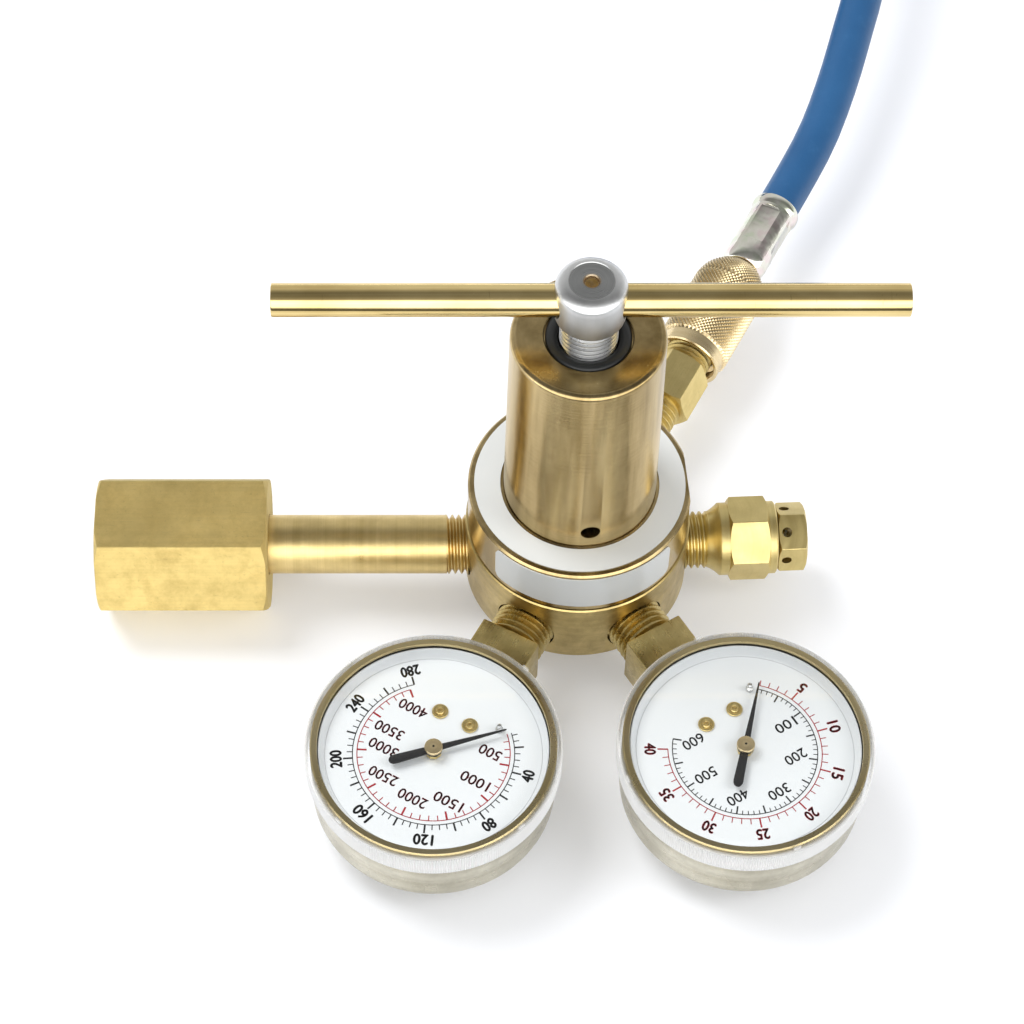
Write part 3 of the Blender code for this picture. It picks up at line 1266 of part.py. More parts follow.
def build_hose_fitting(prefix, frame):
    # Knurled swivel nut, gasket, nipple and crimped ferrule. Local +Z runs towards the hose.
    thread_bore = FLARE_THREAD_RADIUS + SEAT_GAP
    flange_end = nipple_start + NIPPLE_FLANGE_LENGTH
    sleeve_seat = flange_end + SEAT_GAP
    tail_hole = NIPPLE_TAIL_RADIUS + SEAT_GAP
    dome_start = sleeve_end - SLEEVE_DOME_LENGTH
    collar_end = sleeve_start + SLEEVE_COLLAR_LENGTH
    mouth_floor = sleeve_start + SLEEVE_MOUTH_DEPTH
    dome_angle = math.degrees(math.asin(SLEEVE_DOME_LENGTH / SLEEVE_RADIUS))
    outline = [(tail_hole, sleeve_end)]
    outline += arc((0.0, dome_start), SLEEVE_RADIUS, dome_angle, 0, CROWN_FACETS)
    outline += [
        (SLEEVE_RADIUS, collar_end + SEAT_GAP),
        (SLEEVE_COLLAR_RADIUS, collar_end),
        (SLEEVE_COLLAR_RADIUS, sleeve_start),
        (SLEEVE_MOUTH_RADIUS, sleeve_start),
        (SLEEVE_MOUTH_RADIUS, mouth_floor),
        (thread_bore, mouth_floor + SEAT_GAP),
        (thread_bore, sleeve_seat),
        (tail_hole, sleeve_seat),
    ]
    turned(prefix + "_sleeve", outline, BRIGHT_BRASS, frame)

    gasket_end = hose_gasket_start + HOSE_GASKET_THICKNESS
    ring(
        prefix + "_gasket",
        ADAPTER_BORE_RADIUS,
        HOSE_GASKET_RADIUS,
        hose_gasket_start,
        gasket_end,
        RUBBER,
        frame,
        PIN_STEPS,
    )
    tail_end = sleeve_end + SEAT_GAP
    barb_end = ferrule_start + NIPPLE_BARB_LENGTH
    outline = [
        (NIPPLE_BORE_RADIUS, barb_end),
        (NIPPLE_BARB_RADIUS, barb_end),
        (NIPPLE_BARB_RADIUS, tail_end),
        (NIPPLE_TAIL_RADIUS, tail_end),
        (NIPPLE_TAIL_RADIUS, flange_end),
        (HOSE_GASKET_RADIUS, flange_end),
        (HOSE_GASKET_RADIUS, nipple_start),
        (NIPPLE_BORE_RADIUS, nipple_start),
    ]
    turned(prefix + "_nipple", outline, BRIGHT_BRASS, frame)

    barb_hole = NIPPLE_BARB_RADIUS + SEAT_GAP
    crimped_radius = ferrule_radius - FERRULE_CRIMP
    outline = [
        (barb_hole, ferrule_end),
        (ferrule_radius - FERRULE_END_ROUNDING, ferrule_end),
        (ferrule_radius, ferrule_end - FERRULE_END_ROUNDING),
        (ferrule_radius, ferrule_end - FERRULE_LIP_LENGTH + FERRULE_CRIMP),
        (crimped_radius, ferrule_end - FERRULE_LIP_LENGTH),
        (crimped_radius, ferrule_start + FERRULE_SHOULDER_LENGTH),
        (crimped_radius - FERRULE_CRIMP, ferrule_start + FERRULE_SHOULDER_LENGTH / 2),
        (FERRULE_NECK_RADIUS, ferrule_start),
        (barb_hole, ferrule_start),
    ]
    ferrule = turned(prefix + "_ferrule", outline, ZINC, frame)
    middle = ferrule_end - FERRULE_DENT_SETBACK
    flat = crimped_radius - FERRULE_DENT_DEPTH
    for i in range(FERRULE_DENTS):
        turn = Matrix.Rotation(FERRULE_DENT_ROLL + 2 * math.pi * i / FERRULE_DENTS, 4, "Z")
        low = (flat, -FERRULE_DENT_WIDTH / 2, middle - FERRULE_DENT_LENGTH / 2)
        high = (ferrule_radius + flat, FERRULE_DENT_WIDTH / 2, middle + FERRULE_DENT_LENGTH / 2)
        cut(ferrule, box(f"{prefix}_dent_{i}", low, high, None, frame @ turn))


def smooth_route(points, spacing):
    # A smooth curve through the points, read at even steps
    ends = [2 * points[0] - points[1], *points, 2 * points[-1] - points[-2]]
    fine = []
    for before, start, end, after in zip(ends, ends[1:], ends[2:], ends[3:]):
        for i in range(CURVE_SAMPLES):
            t = i / CURVE_SAMPLES
            pull = (2 * before - 5 * start + 4 * end - after) * t * t
            swing = (3 * start - before - 3 * end + after) * t * t * t
            fine.append((2 * start + (end - before) * t + pull + swing) / 2)
    fine.append(points[-1])
    lengths = [0.0]
    for first, second in zip(fine, fine[1:]):
        lengths.append(lengths[-1] + (second - first).length)
    count = max(2, round(lengths[-1] / spacing))
    route = []
    place = 0
    for i in range(count + 1):
        wanted = lengths[-1] * i / count
        while place < len(lengths) - 2 and lengths[place + 1] < wanted:
            place += 1
        share = (wanted - lengths[place]) / (lengths[place + 1] - lengths[place])
        route.append(fine[place].lerp(fine[place + 1], share))
    return route


def build_hose():
    outward = Vector((math.cos(OUTLET_AZIMUTH), math.sin(OUTLET_AZIMUTH), 0.0))
    start = outward * hose_start + Vector((0.0, 0.0, port_height))
    entry = coil_centre + Vector((COIL_RADIUS, 0.0, coil_start_height))
    arrival = entry - Vector((0.0, hose_lead, 0.0))
    points = [start, start + outward * HOSE_RADIUS]
    points += [Vector(point) for point in HOSE_ROUTE]
    points.append(arrival)
    route = smooth_route(points, HOSE_POINT_SPACING)
    curve = wire("hose", route, HOSE_RADIUS, 3)
    add_object("hose", curve, HOSE_BLUE)

    inner = COIL_RADIUS - coil_pitch / 2
    place = Matrix.Translation(coil_centre)
    bottom = coil_bottom_height - HOSE_RADIUS
    top = coil_start_height + HOSE_RADIUS
    ring("hose_coil", inner, coil_outer_radius, bottom, top, HOSE_BLUE, place, COIL_STEPS)

    # The far end leaves the coil's lowest turn along its tangent.
    angle = 2 * math.pi * COIL_TURNS
    on_coil = coil_centre + COIL_RADIUS * Vector((math.cos(angle), math.sin(angle), 0.0))
    heading = angle + math.pi / 2
    leaving = Vector((math.cos(heading), math.sin(heading), 0.0))
    hose_tip = on_coil + leaving * fitting_lead + Vector((0.0, 0.0, HOSE_END_HEIGHT))
    origin = hose_tip + leaving * hose_start
    turn = Matrix.Rotation(heading + math.pi, 4, "Z") @ Matrix.Rotation(math.pi / 2, 4, "Y")
    build_hose_fitting("hose_end", Matrix.Translation(origin) @ turn)


build_body()
build_back_cap()
build_valve()
build_diaphragm()
build_bonnet()
build_labels()
build_adjuster()
build_inlet()
build_relief_valve()
build_gauge(
    "left", LEFT_STEM_SHOWN, LEFT_GAUGE_AZIMUTH, LEFT_POINTER_AZIMUTH, LEFT_STOP_PIN_AZIMUTH
)
build_gauge(
    "right", RIGHT_STEM_SHOWN, RIGHT_GAUGE_AZIMUTH, RIGHT_POINTER_AZIMUTH, RIGHT_STOP_PIN_AZIMUTH
)
build_outlet()
build_hose()
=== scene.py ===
import math

import bpy
from mathutils import Matrix, Vector


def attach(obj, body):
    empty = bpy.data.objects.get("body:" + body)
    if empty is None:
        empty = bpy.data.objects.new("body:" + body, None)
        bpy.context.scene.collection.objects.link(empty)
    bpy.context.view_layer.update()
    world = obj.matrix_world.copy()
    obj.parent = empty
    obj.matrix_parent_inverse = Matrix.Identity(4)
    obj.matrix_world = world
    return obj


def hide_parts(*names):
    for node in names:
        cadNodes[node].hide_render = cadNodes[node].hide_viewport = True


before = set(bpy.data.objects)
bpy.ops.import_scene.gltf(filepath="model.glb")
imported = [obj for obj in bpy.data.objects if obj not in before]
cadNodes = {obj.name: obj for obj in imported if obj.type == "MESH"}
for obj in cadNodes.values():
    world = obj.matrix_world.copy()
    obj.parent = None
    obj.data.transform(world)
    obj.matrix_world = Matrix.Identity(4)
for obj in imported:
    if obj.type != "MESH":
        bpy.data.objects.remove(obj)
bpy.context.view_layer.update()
portHeight = 0.0151  # all the side ports lie at this height


# working helpers


def deselectAll():
    if bpy.context.mode != "OBJECT":
        bpy.ops.object.mode_set(mode="OBJECT")
    bpy.ops.object.select_all(action="DESELECT")


def pick(piece):
    deselectAll()
    piece.select_set(True)
    bpy.context.view_layer.objects.active = piece


def alongPort(degrees):  # local +Z points outwards along a side port, local -X is up
    turn = Matrix.Rotation(math.radians(degrees), 4, "Z") @ Matrix.Rotation(math.pi / 2, 4, "Y")
    return Matrix.Translation((0, 0, portHeight)) @ turn


def settle(piece, place=None):  # the place goes into the mesh, the object stays at the origin
    pick(piece)
    if place is not None:
        piece.matrix_world = place @ piece.matrix_world
    bpy.ops.object.transform_apply(location=True, rotation=True, scale=True)
    return piece


def soften(piece, degrees=32):
    pick(piece)
    bpy.ops.object.shade_smooth_by_angle(angle=math.radians(degrees))
    return piece


def applyModifier(piece, kind, **values):
    pick(piece)
    modifier = piece.modifiers.new("work", kind)
    for key, value in values.items():
        setattr(modifier, key, value)
    bpy.ops.object.modifier_apply(modifier=modifier.name)
    return piece


def cutWith(piece, tool, operation="DIFFERENCE"):
    applyModifier(piece, "BOOLEAN", operation=operation, solver="EXACT", object=tool)
    bpy.data.objects.remove(tool, do_unlink=True)
    return piece


def latheRings(name, rings, segments=96, closed=False):
    # A circle is pulled up ring by ring. A closed profile comes back to its first ring.
    deselectAll()
    radius, height = rings[0]
    fill = "NOTHING" if closed else "NGON"
    bpy.ops.mesh.primitive_circle_add(
        vertices=segments, radius=radius, fill_type=fill, location=(0, 0, height)
    )
    piece = bpy.context.object
    piece.name = name
    bpy.ops.object.transform_apply(location=True)
    bpy.ops.object.mode_set(mode="EDIT")
    bpy.ops.mesh.select_all(action="SELECT")
    for newRadius, newHeight in rings[1:]:
        bpy.ops.mesh.extrude_region_move(TRANSFORM_OT_translate={"value": (0, 0, newHeight - height)})
        share = newRadius / radius
        bpy.ops.transform.resize(value=(share, share, 1), center_override=(0, 0, newHeight))
        radius, height = newRadius, newHeight
    if closed:
        bpy.ops.mesh.select_all(action="SELECT")
        bpy.ops.mesh.remove_doubles(threshold=0.000002)
    bpy.ops.mesh.select_all(action="SELECT")
    bpy.ops.mesh.normals_make_consistent(inside=False)
    bpy.ops.object.mode_set(mode="OBJECT")
    return piece


def turnPiece(name, rings, place=None, segments=96, closed=False):
    return soften(settle(latheRings(name, rings, segments, closed), place))


def roundTool(radius, start, end, place, segments=48):
    deselectAll()
    bpy.ops.mesh.primitive_cylinder_add(
        vertices=segments, radius=radius, depth=end - start, location=(0, 0, (start + end) / 2)
    )
    return settle(bpy.context.object, place)


def blockTool(size, middle, place=None, bevel=0.0):
    deselectAll()
    bpy.ops.mesh.primitive_cube_add(size=1, location=middle, scale=size)
    block = bpy.context.object
    bpy.ops.object.transform_apply(location=True, rotation=True, scale=True)
    if bevel:
        bpy.ops.object.mode_set(mode="EDIT")
        bpy.ops.mesh.select_all(action="SELECT")
        bpy.ops.mesh.bevel(offset=bevel, segments=3)
        bpy.ops.object.mode_set(mode="OBJECT")
    return settle(block, place)


def hexBar(name, flats, start, end, chamfer, roll, place, edge=0.00015, sides=6):
    # Drawn bar with slightly rounded edges, chamfered on the lathe at both ends
    corner = flats / 2 / math.cos(math.pi / sides)
    deselectAll()
    bpy.ops.mesh.primitive_cylinder_add(
        vertices=sides, radius=corner, depth=end - start, location=(0, 0, (start + end) / 2)
    )
    bar = bpy.context.object
    bar.name = name
    bpy.ops.object.transform_apply(location=True)
    first = max(bar.data.vertices, key=lambda vert: vert.co.x)
    turn = math.radians(roll) - math.atan2(first.co.y, first.co.x)
    bar.matrix_world = Matrix.Rotation(turn, 4, "Z")
    settle(bar)
    bpy.ops.object.mode_set(mode="EDIT")
    bpy.ops.mesh.select_all(action="DESELECT")
    bpy.ops.object.mode_set(mode="OBJECT")
    for line in bar.data.edges:
        a, b = (bar.data.vertices[i].co for i in line.vertices)
        line.select = abs(a.z - b.z) > (end - start) / 2
    bpy.ops.object.mode_set(mode="EDIT")
    bpy.ops.mesh.bevel(offset=edge, segments=3)
    bpy.ops.object.mode_set(mode="OBJECT")
    if chamfer:
        face = corner - 2 * chamfer
        wide = corner + chamfer
        rings = [(face, start), (wide, start + 1.5 * chamfer), (wide, end - 1.5 * chamfer), (face, end)]
        cutWith(bar, latheRings("turning", rings, 120), "INTERSECT")
    settle(bar, place)
    return soften(bar, 25)


def threadPiece(name, crest, depth, pitch, start, turns, place, steps=40):
    # One V of the profile is drawn point by point, then wound up with the Screw modifier.
    deselectAll()
    bpy.ops.mesh.primitive_plane_add(size=0.001, location=(crest - depth, 0, start))
    piece = bpy.context.object
    piece.name = name
    bpy.ops.object.transform_apply(location=True)
    bpy.ops.object.mode_set(mode="EDIT")
    bpy.ops.mesh.select_all(action="SELECT")
    bpy.ops.mesh.merge(type="CENTER")
    for out, up in ((0, 0.1), (depth, 0.34), (0, 0.16), (-depth, 0.34), (0, 0.06)):
        bpy.ops.mesh.extrude_region_move(TRANSFORM_OT_translate={"value": (out, 0, up * pitch)})
    bpy.ops.object.mode_set(mode="OBJECT")
    applyModifier(
        piece, "SCREW", axis="Z", screw_offset=pitch, iterations=turns, steps=steps,
        render_steps=steps, angle=2 * math.pi, use_merge_vertices=True, merge_threshold=0.000001,
    )
    bpy.ops.object.mode_set(mode="EDIT")
    bpy.ops.mesh.select_all(action="SELECT")
    bpy.ops.mesh.remove_doubles(threshold=0.000003)
    bpy.ops.mesh.normals_make_consistent(inside=False)
    bpy.ops.object.mode_set(mode="OBJECT")
    return soften(settle(piece, place), 40)


def joinPieces(name, pieces):
    deselectAll()
    for piece in pieces:
        piece.select_set(True)
    bpy.context.view_layer.objects.active = pieces[0]
    bpy.ops.object.join()
    pieces[0].name = name
    return pieces[0]


def finishPiece(piece, material, body, *nodes, slot=None):
    piece.data.materials.clear()
    piece.data.materials.append(material)
    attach(piece, body)
    if nodes:
        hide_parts(*nodes)
    return piece


# materials


class Wire:  # one socket of a node tree, so that a pattern reads as arithmetic
    def __init__(self, tree, socket=None):
        self.tree = tree
        self.socket = socket

    def node(self, kind, settings=None, inputs=None, out=0):
        made = self.tree.nodes.new(kind)
        for key, value in (settings or {}).items():
            if key == "stops":
                while len(made.color_ramp.elements) < len(value):
                    made.color_ramp.elements.new(0.5)
                for stop, (position, level) in zip(made.color_ramp.elements, value):
                    stop.position = position
                    stop.color = (level, level, level, 1)
            else:
                setattr(made, key, value)
        for key, value in (inputs or {}).items():
            if isinstance(value, Wire):
                self.tree.links.new(value.socket, made.inputs[key])
            else:
                made.inputs[key].default_value = value
        return Wire(self.tree, made.outputs[out])

    def sum(self, operation, first, second=0.0):
        return self.node("ShaderNodeMath", {"operation": operation}, {0: first, 1: second})

    def __add__(self, other):
        return self.sum("ADD", self, other)

    def __radd__(self, other):
        return self.sum("ADD", other, self)

    def __sub__(self, other):
        return self.sum("SUBTRACT", self, other)

    def __rsub__(self, other):
        return self.sum("SUBTRACT", other, self)

    def __mul__(self, other):
        return self.sum("MULTIPLY", self, other)

    def __rmul__(self, other):
        return self.sum("MULTIPLY", other, self)

    def __pow__(self, other):
        return self.sum("POWER", self, other)


def newMaterial(name, **fixed):
    material = bpy.data.materials.new(name)
    material.use_nodes = True
    tree = material.node_tree
    shader = tree.nodes["Principled BSDF"]
    for key, value in fixed.items():
        shader.inputs[key].default_value = value
    return material, Wire(tree), shader


def plug(wire, shader, **links):
    for key, value in links.items():
        wire.tree.links.new(value.socket, shader.inputs[key.replace("_", " ")])


def blendColour(wire, share, first, second):
    return wire.node("ShaderNodeMix", {"data_type": "RGBA"}, {0: share, 6: first, 7: second}, out=2)


def localCoords(wire, place):
    start = wire.node("ShaderNodeTexCoord", out=3)
    values = {"Vector": start, "Location": place.to_translation(), "Rotation": place.to_euler()}
    return wire.node("ShaderNodeMapping", {"vector_type": "TEXTURE"}, values)


def cloudPattern(wire, coords, scale, detail=3.0, rough=0.55):
    values = {"Vector": coords, "Scale": scale, "Detail": detail, "Roughness": rough}
    return wire.node("ShaderNodeTexNoise", None, values)


def stretched(wire, coords, x, y, z):
    return wire.node("ShaderNodeVectorMath", {"operation": "MULTIPLY"}, {0: coords, 1: (x, y, z)})


def ramp(wire, value, *stops):
    # The value is spread over the whole ramp first, because a ramp is too coarse for steps of a millimetre
    start, reach = stops[0][0], stops[-1][0] - stops[0][0]
    spread = [((position - start) / reach, level) for position, level in stops]
    return wire.node("ShaderNodeValToRGB", {"stops": spread}, {0: (value - start) * (1 / reach)})


def turnedMetal(name, place, light, dark, rough, marks=0.5, scale=1.0, dirt=0.25, capped=None):
    # Rings from the lathe tool round the piece's own axis, soft stains and fine pits
    material, wire, shader = newMaterial(name, Metallic=1.0)
    local = localCoords(wire, place)
    parts = wire.node("ShaderNodeSeparateXYZ", None, {0: local})
    x, y = parts, Wire(wire.tree, parts.socket.node.outputs[1])
    z = Wire(wire.tree, parts.socket.node.outputs[2])
    radius = (x * x + y * y) ** 0.5
    drift = cloudPattern(wire, local, 90.0, 1.0) * 0.0006
    line = z + radius * 0.8 + drift
    fine = wire.node("ShaderNodeTexNoise", {"noise_dimensions": "1D"}, {"W": line, "Scale": 5200.0 * scale, "Detail": 2.0})
    bands = wire.node("ShaderNodeTexNoise", {"noise_dimensions": "1D"}, {"W": line, "Scale": 620.0 * scale, "Detail": 2.0})
    clouds = cloudPattern(wire, local, 55.0, 4.0)
    patches = ramp(wire, cloudPattern(wire, local, 130.0, 5.0, 0.65), (0.36, 0.0), (0.62, 1.0))
    pits = ramp(wire, cloudPattern(wire, local, 2100.0, 1.0), (0.68, 0.0), (0.76, 1.0))
    tone = clouds * 0.55 + bands * 0.3 + fine * 0.15
    colour = blendColour(wire, ramp(wire, tone, (0.3, 0.0), (0.66, 1.0)), dark, light)
    stained = blendColour(wire, patches * dirt + pits * 0.45 * dirt, colour, tuple(c * 0.42 for c in dark[:3]) + (1,))
    if capped:  # another tone above a height, such as a rim that was turned bare
        height, bare = capped
        stained = blendColour(wire, ramp(wire, z, (height, 0.0), (height + 0.0002, 1.0)), stained, bare)
    roughness = rough + (clouds - 0.5) * 0.22 + (bands - 0.5) * 0.12 + patches * 0.10
    bump = wire.node(
        "ShaderNodeBump", None,
        {"Strength": 0.35 * marks, "Distance": 0.00004, "Height": fine + bands * 1.4 - pits * 0.8},
    )
    plug(wire, shader, Base_Color=stained, Roughness=roughness, Normal=bump)
    return material


def drawnMetal(name, place, light, dark, rough, dirt=0.3):
    # Bar stock: die lines along the piece's axis, handling scratches across them, stains
    material, wire, shader = newMaterial(name, Metallic=1.0)
    local = localCoords(wire, place)
    lines = cloudPattern(wire, stretched(wire, local, 1800, 1800, 22), 1.0, 3.0)
    clouds = cloudPattern(wire, local, 60.0, 5.0, 0.6)
    scratchA = ramp(wire, cloudPattern(wire, stretched(wire, local, 160, 2600, 260), 1.0, 2.0), (0.66, 0.0), (0.72, 1.0))
    scratchB = ramp(wire, cloudPattern(wire, stretched(wire, local, 2400, 200, 700), 1.0, 2.0), (0.67, 0.0), (0.73, 1.0))
    patches = ramp(wire, cloudPattern(wire, local, 210.0, 6.0, 0.7), (0.42, 0.0), (0.66, 1.0))
    pits = ramp(wire, cloudPattern(wire, local, 1500.0, 1.0), (0.69, 0.0), (0.75, 1.0))
    tone = ramp(wire, clouds * 0.7 + lines * 0.3, (0.32, 0.0), (0.64, 1.0))
    colour = blendColour(wire, tone, dark, light)
    marked = patches * dirt + pits * dirt + scratchA * 0.12
    stained = blendColour(wire, marked, colour, tuple(c * 0.42 for c in dark[:3]) + (1,))
    roughness = rough + (clouds - 0.5) * 0.25 + (lines - 0.5) * 0.15 + patches * 0.12
    height = lines * 0.6 - scratchA * 0.9 - scratchB * 0.7 - pits * 1.2 + clouds * 0.8
    bump = wire.node("ShaderNodeBump", None, {"Strength": 0.28, "Distance": 0.00006, "Height": height})
    plug(wire, shader, Base_Color=stained, Roughness=roughness, Normal=bump)
    return material


def plainSurface(name, colour, rough, metallic=0.0, grain=0.1, scale=700.0, shade=0.06):
    # Moulded rubber, film and paint: a faint unevenness in colour, gloss and height
    material, wire, shader = newMaterial(name, Metallic=metallic)
    coords = wire.node("ShaderNodeTexCoord", out=3)
    clouds = cloudPattern(wire, coords, 45.0, 4.0)
    fine = cloudPattern(wire, coords, scale, 3.0)
    darker = tuple(c * (1 - 2 * shade) for c in colour[:3]) + (1,)
    tinted = blendColour(wire, clouds * 0.7 + fine * 0.3, darker, colour)
    roughness = rough + (clouds - 0.5) * 0.12 + (fine - 0.5) * 0.06
    bump = wire.node("ShaderNodeBump", None, {"Strength": grain, "Distance": 0.00005, "Height": fine})
    plug(wire, shader, Base_Color=tinted, Roughness=roughness, Normal=bump)
    return material


tones = {
    "brassLight": (0.72, 0.565, 0.25, 1),
    "brassDark": (0.47, 0.35, 0.13, 1),
    "brightLight": (0.86, 0.68, 0.32, 1),
    "brightDark": (0.64, 0.475, 0.19, 1),
    "bonnetLight": (0.56, 0.43, 0.215, 1),
    "bonnetDark": (0.29, 0.21, 0.09, 1),
    "sleeveLight": (0.92, 0.76, 0.47, 1),
    "sleeveDark": (0.72, 0.56, 0.30, 1),
    "nutLight": (0.80, 0.655, 0.295, 1),
    "nutDark": (0.64, 0.505, 0.20, 1),
    "caseLight": (0.72, 0.685, 0.57, 1),
    "caseDark": (0.44, 0.40, 0.29, 1),
    "oliveLight": (0.66, 0.53, 0.24, 1),
    "oliveDark": (0.44, 0.335, 0.12, 1),
    "rivetLight": (0.96, 0.78, 0.36, 1),
    "rivetDark": (0.74, 0.55, 0.20, 1),
    "steelLight": (0.78, 0.785, 0.78, 1),
    "steelDark": (0.52, 0.525, 0.52, 1),
    "zincLight": (0.94, 0.93, 0.85, 1),
    "zincDark": (0.68, 0.66, 0.57, 1),
    "rubber": (0.012, 0.013, 0.013, 1),
    "white": (0.73, 0.75, 0.745, 1),
}
upright = Matrix()


# camera, light and floor

studio = {
    "cameraPlace": (-0.027, -0.371775, 0.589773),
    "cameraTilt": 33.5,
    "lens": 107.93,
    "shiftX": 0.0557,
    "keyPlace": (-0.55, 0.35, 1.05),
    "keySize": 0.7,
    "keyPower": 10.0,
    "sidePlace": (0.75, -0.25, 0.75),
    "sideSize": 0.5,
    "sidePower": 3.0,
    "skyLevel": 0.72,
    "floorColour": (0.71, 0.725, 0.76, 1),
    "floorGlow": 0.26,
}

cameraData = bpy.data.cameras.new("camera")
cameraData.lens = studio["lens"]
cameraData.sensor_fit = "HORIZONTAL"
cameraData.sensor_width = 36.0
cameraData.shift_x = studio["shiftX"]
cameraData.clip_start = 0.01
camera = bpy.data.objects.new("camera", cameraData)
camera.location = studio["cameraPlace"]
camera.rotation_euler = (math.radians(studio["cameraTilt"]), 0, 0)
bpy.context.scene.collection.objects.link(camera)
bpy.context.scene.camera = camera
bpy.context.scene.view_settings.view_transform = "Standard"


def softbox(name, place, size, power):
    deselectAll()
    bpy.ops.object.light_add(type="AREA", location=place)
    lamp = bpy.context.object
    lamp.name = name
    lamp.data.shape = "DISK"
    lamp.data.size = size
    lamp.data.energy = power
    lamp.rotation_euler = (Vector((0, 0, 0.03)) - Vector(place)).to_track_quat("-Z", "Y").to_euler()
    lamp.visible_glossy = False  # metal and windows mirror the room below instead


softbox("keyLight", studio["keyPlace"], studio["keySize"], studio["keyPower"])
softbox("sideLight", studio["sidePlace"], studio["sideSize"], studio["sidePower"])

world = bpy.data.worlds.new("studio")
bpy.context.scene.world = world
world.use_nodes = True
sky = Wire(world.node_tree)
rays = sky.node("ShaderNodeLightPath")


def rayKind(wire, start, *names):  # 1 for the rays that are named, 0 for the others
    total = None
    for name in names:
        part = Wire(wire.tree, start.socket.node.outputs[name])
        total = part if total is None else wire.sum("MAXIMUM", total, part)
    return total


seen = rayKind(sky, rays, "Is Camera Ray", "Is Transmission Ray")
mirrored = rayKind(sky, rays, "Is Glossy Ray")
direction = sky.node("ShaderNodeSeparateXYZ", None, {0: sky.node("ShaderNodeTexCoord", out=0)})
forward = Wire(sky.tree, direction.socket.node.outputs[1]) * -1.0
upward = Wire(sky.tree, direction.socket.node.outputs[2])
tilt = sky.sum("ARCTAN2", upward, forward) * (1 / math.pi)  # 0 in front, 0.5 overhead, 1 behind
# what shiny metal sees: a strong panel over the front horizon, a dark ceiling, a paler back wall
overhead = 3.4 * ramp(
    sky, tilt, (0.0, 0.80), (0.235, 0.95), (0.265, 0.50), (0.31, 0.125), (0.40, 0.08), (0.50, 0.065),
    (0.58, 0.06), (0.66, 0.11), (0.75, 0.20), (1.0, 0.21),
)
level = studio["skyLevel"] + seen * (1 - studio["skyLevel"]) + mirrored * (overhead - studio["skyLevel"])
world.node_tree.links.new(level.socket, world.node_tree.nodes["Background"].inputs["Strength"])
world.node_tree.nodes["Background"].inputs["Color"].default_value = (1, 1, 1, 1)

deselectAll()
bpy.ops.mesh.primitive_plane_add(size=6, location=(0, 0, -0.0002))
floor = bpy.context.object
floor.name = "floor"
floorMaterial, wire, shader = newMaterial("floorPaper", Roughness=0.9)
rays = wire.node("ShaderNodeLightPath")
place = wire.node("ShaderNodeSeparateXYZ", None, {0: wire.node("ShaderNodeTexCoord", out=3)})
towardsFront = Wire(wire.tree, place.socket.node.outputs[1]) * -1.0
# polished pieces mirror a dark strip in front of the table's edge
strip = ramp(wire, towardsFront, (0.17, 0.0), (0.21, 1.0), (0.55, 1.0), (0.80, 0.0)) * rayKind(wire, rays, "Is Glossy Ray")
glow = rayKind(wire, rays, "Is Camera Ray", "Is Glossy Ray", "Is Transmission Ray") * studio["floorGlow"] * (1.0 - strip)
paper = blendColour(wire, strip, studio["floorColour"], (0.10, 0.10, 0.10, 1))
shader.inputs["Emission Color"].default_value = (1, 1, 1, 1)
wire.tree.links.new(glow.socket, shader.inputs["Emission Strength"])
wire.tree.links.new(paper.socket, shader.inputs["Base Color"])
floor.data.materials.append(floorMaterial)
print("camera, lights and floor are set")


# hose

hose = {
    "radius": 0.005,
    "turns": 2.25,
    "pitch": 0.0102,
    "coilRadius": 0.052,
    "coilCentre": (0.030, 0.243),
    "lowTurn": 0.0053,
    "endHeight": 0.0087,
    "lead": 0.03413,
    "start": (0.050343, 0.095888, 0.0151),
    "points": [
        (0.052667, 0.100315, 0.0151),
        (0.0608, 0.1160, 0.0172),
        (0.0666, 0.1313, 0.0193),
        (0.0711, 0.1460, 0.0212),
        (0.0756, 0.1620, 0.0232),
        (0.0798, 0.1840, 0.0260),
        (0.0820, 0.2100, 0.0282),
    ],
}


def smoothPath(points, spacing):
    ends = [2 * points[0] - points[1], *points, 2 * points[-1] - points[-2]]
    fine = []
    for before, start, end, after in zip(ends, ends[1:], ends[2:], ends[3:]):
        for i in range(30):
            t = i / 30
            pull = (2 * before - 5 * start + 4 * end - after) * t * t
            swing = (3 * start - before - 3 * end + after) * t * t * t
            fine.append((2 * start + (end - before) * t + pull + swing) / 2)
    fine.append(points[-1])
    path = [fine[0]]
    for point in fine[1:]:
        if (point - path[-1]).length > spacing:
            path.append(point)
    path[-1] = fine[-1]
    return path


coilX, coilY = hose["coilCentre"]
coilTop = hose["lowTurn"] + hose["turns"] * hose["pitch"]
route = smoothPath([Vector(hose["start"])] + [Vector(p) for p in hose["points"]], 0.006)
count = round(hose["turns"] * 40)
for i in range(count + 1):
    angle = 2 * math.pi * hose["turns"] * i / count
    height = coilTop - hose["turns"] * hose["pitch"] * i / count
    if i < count - 6:
        lift = 0.0
    else:
        lift = (hose["endHeight"] - hose["lowTurn"]) * 0.25 * ((i - count + 6) / 6) ** 2
    x = coilX + hose["coilRadius"] * math.cos(angle)
    y = coilY + hose["coilRadius"] * math.sin(angle)
    route.append(Vector((x, y, height + lift)))
tail = route[-1]
tip = Vector((coilX - hose["lead"], coilY + hose["coilRadius"], hose["endHeight"]))
for i in range(1, 7):
    route.append(tail.lerp(tip, i / 6))

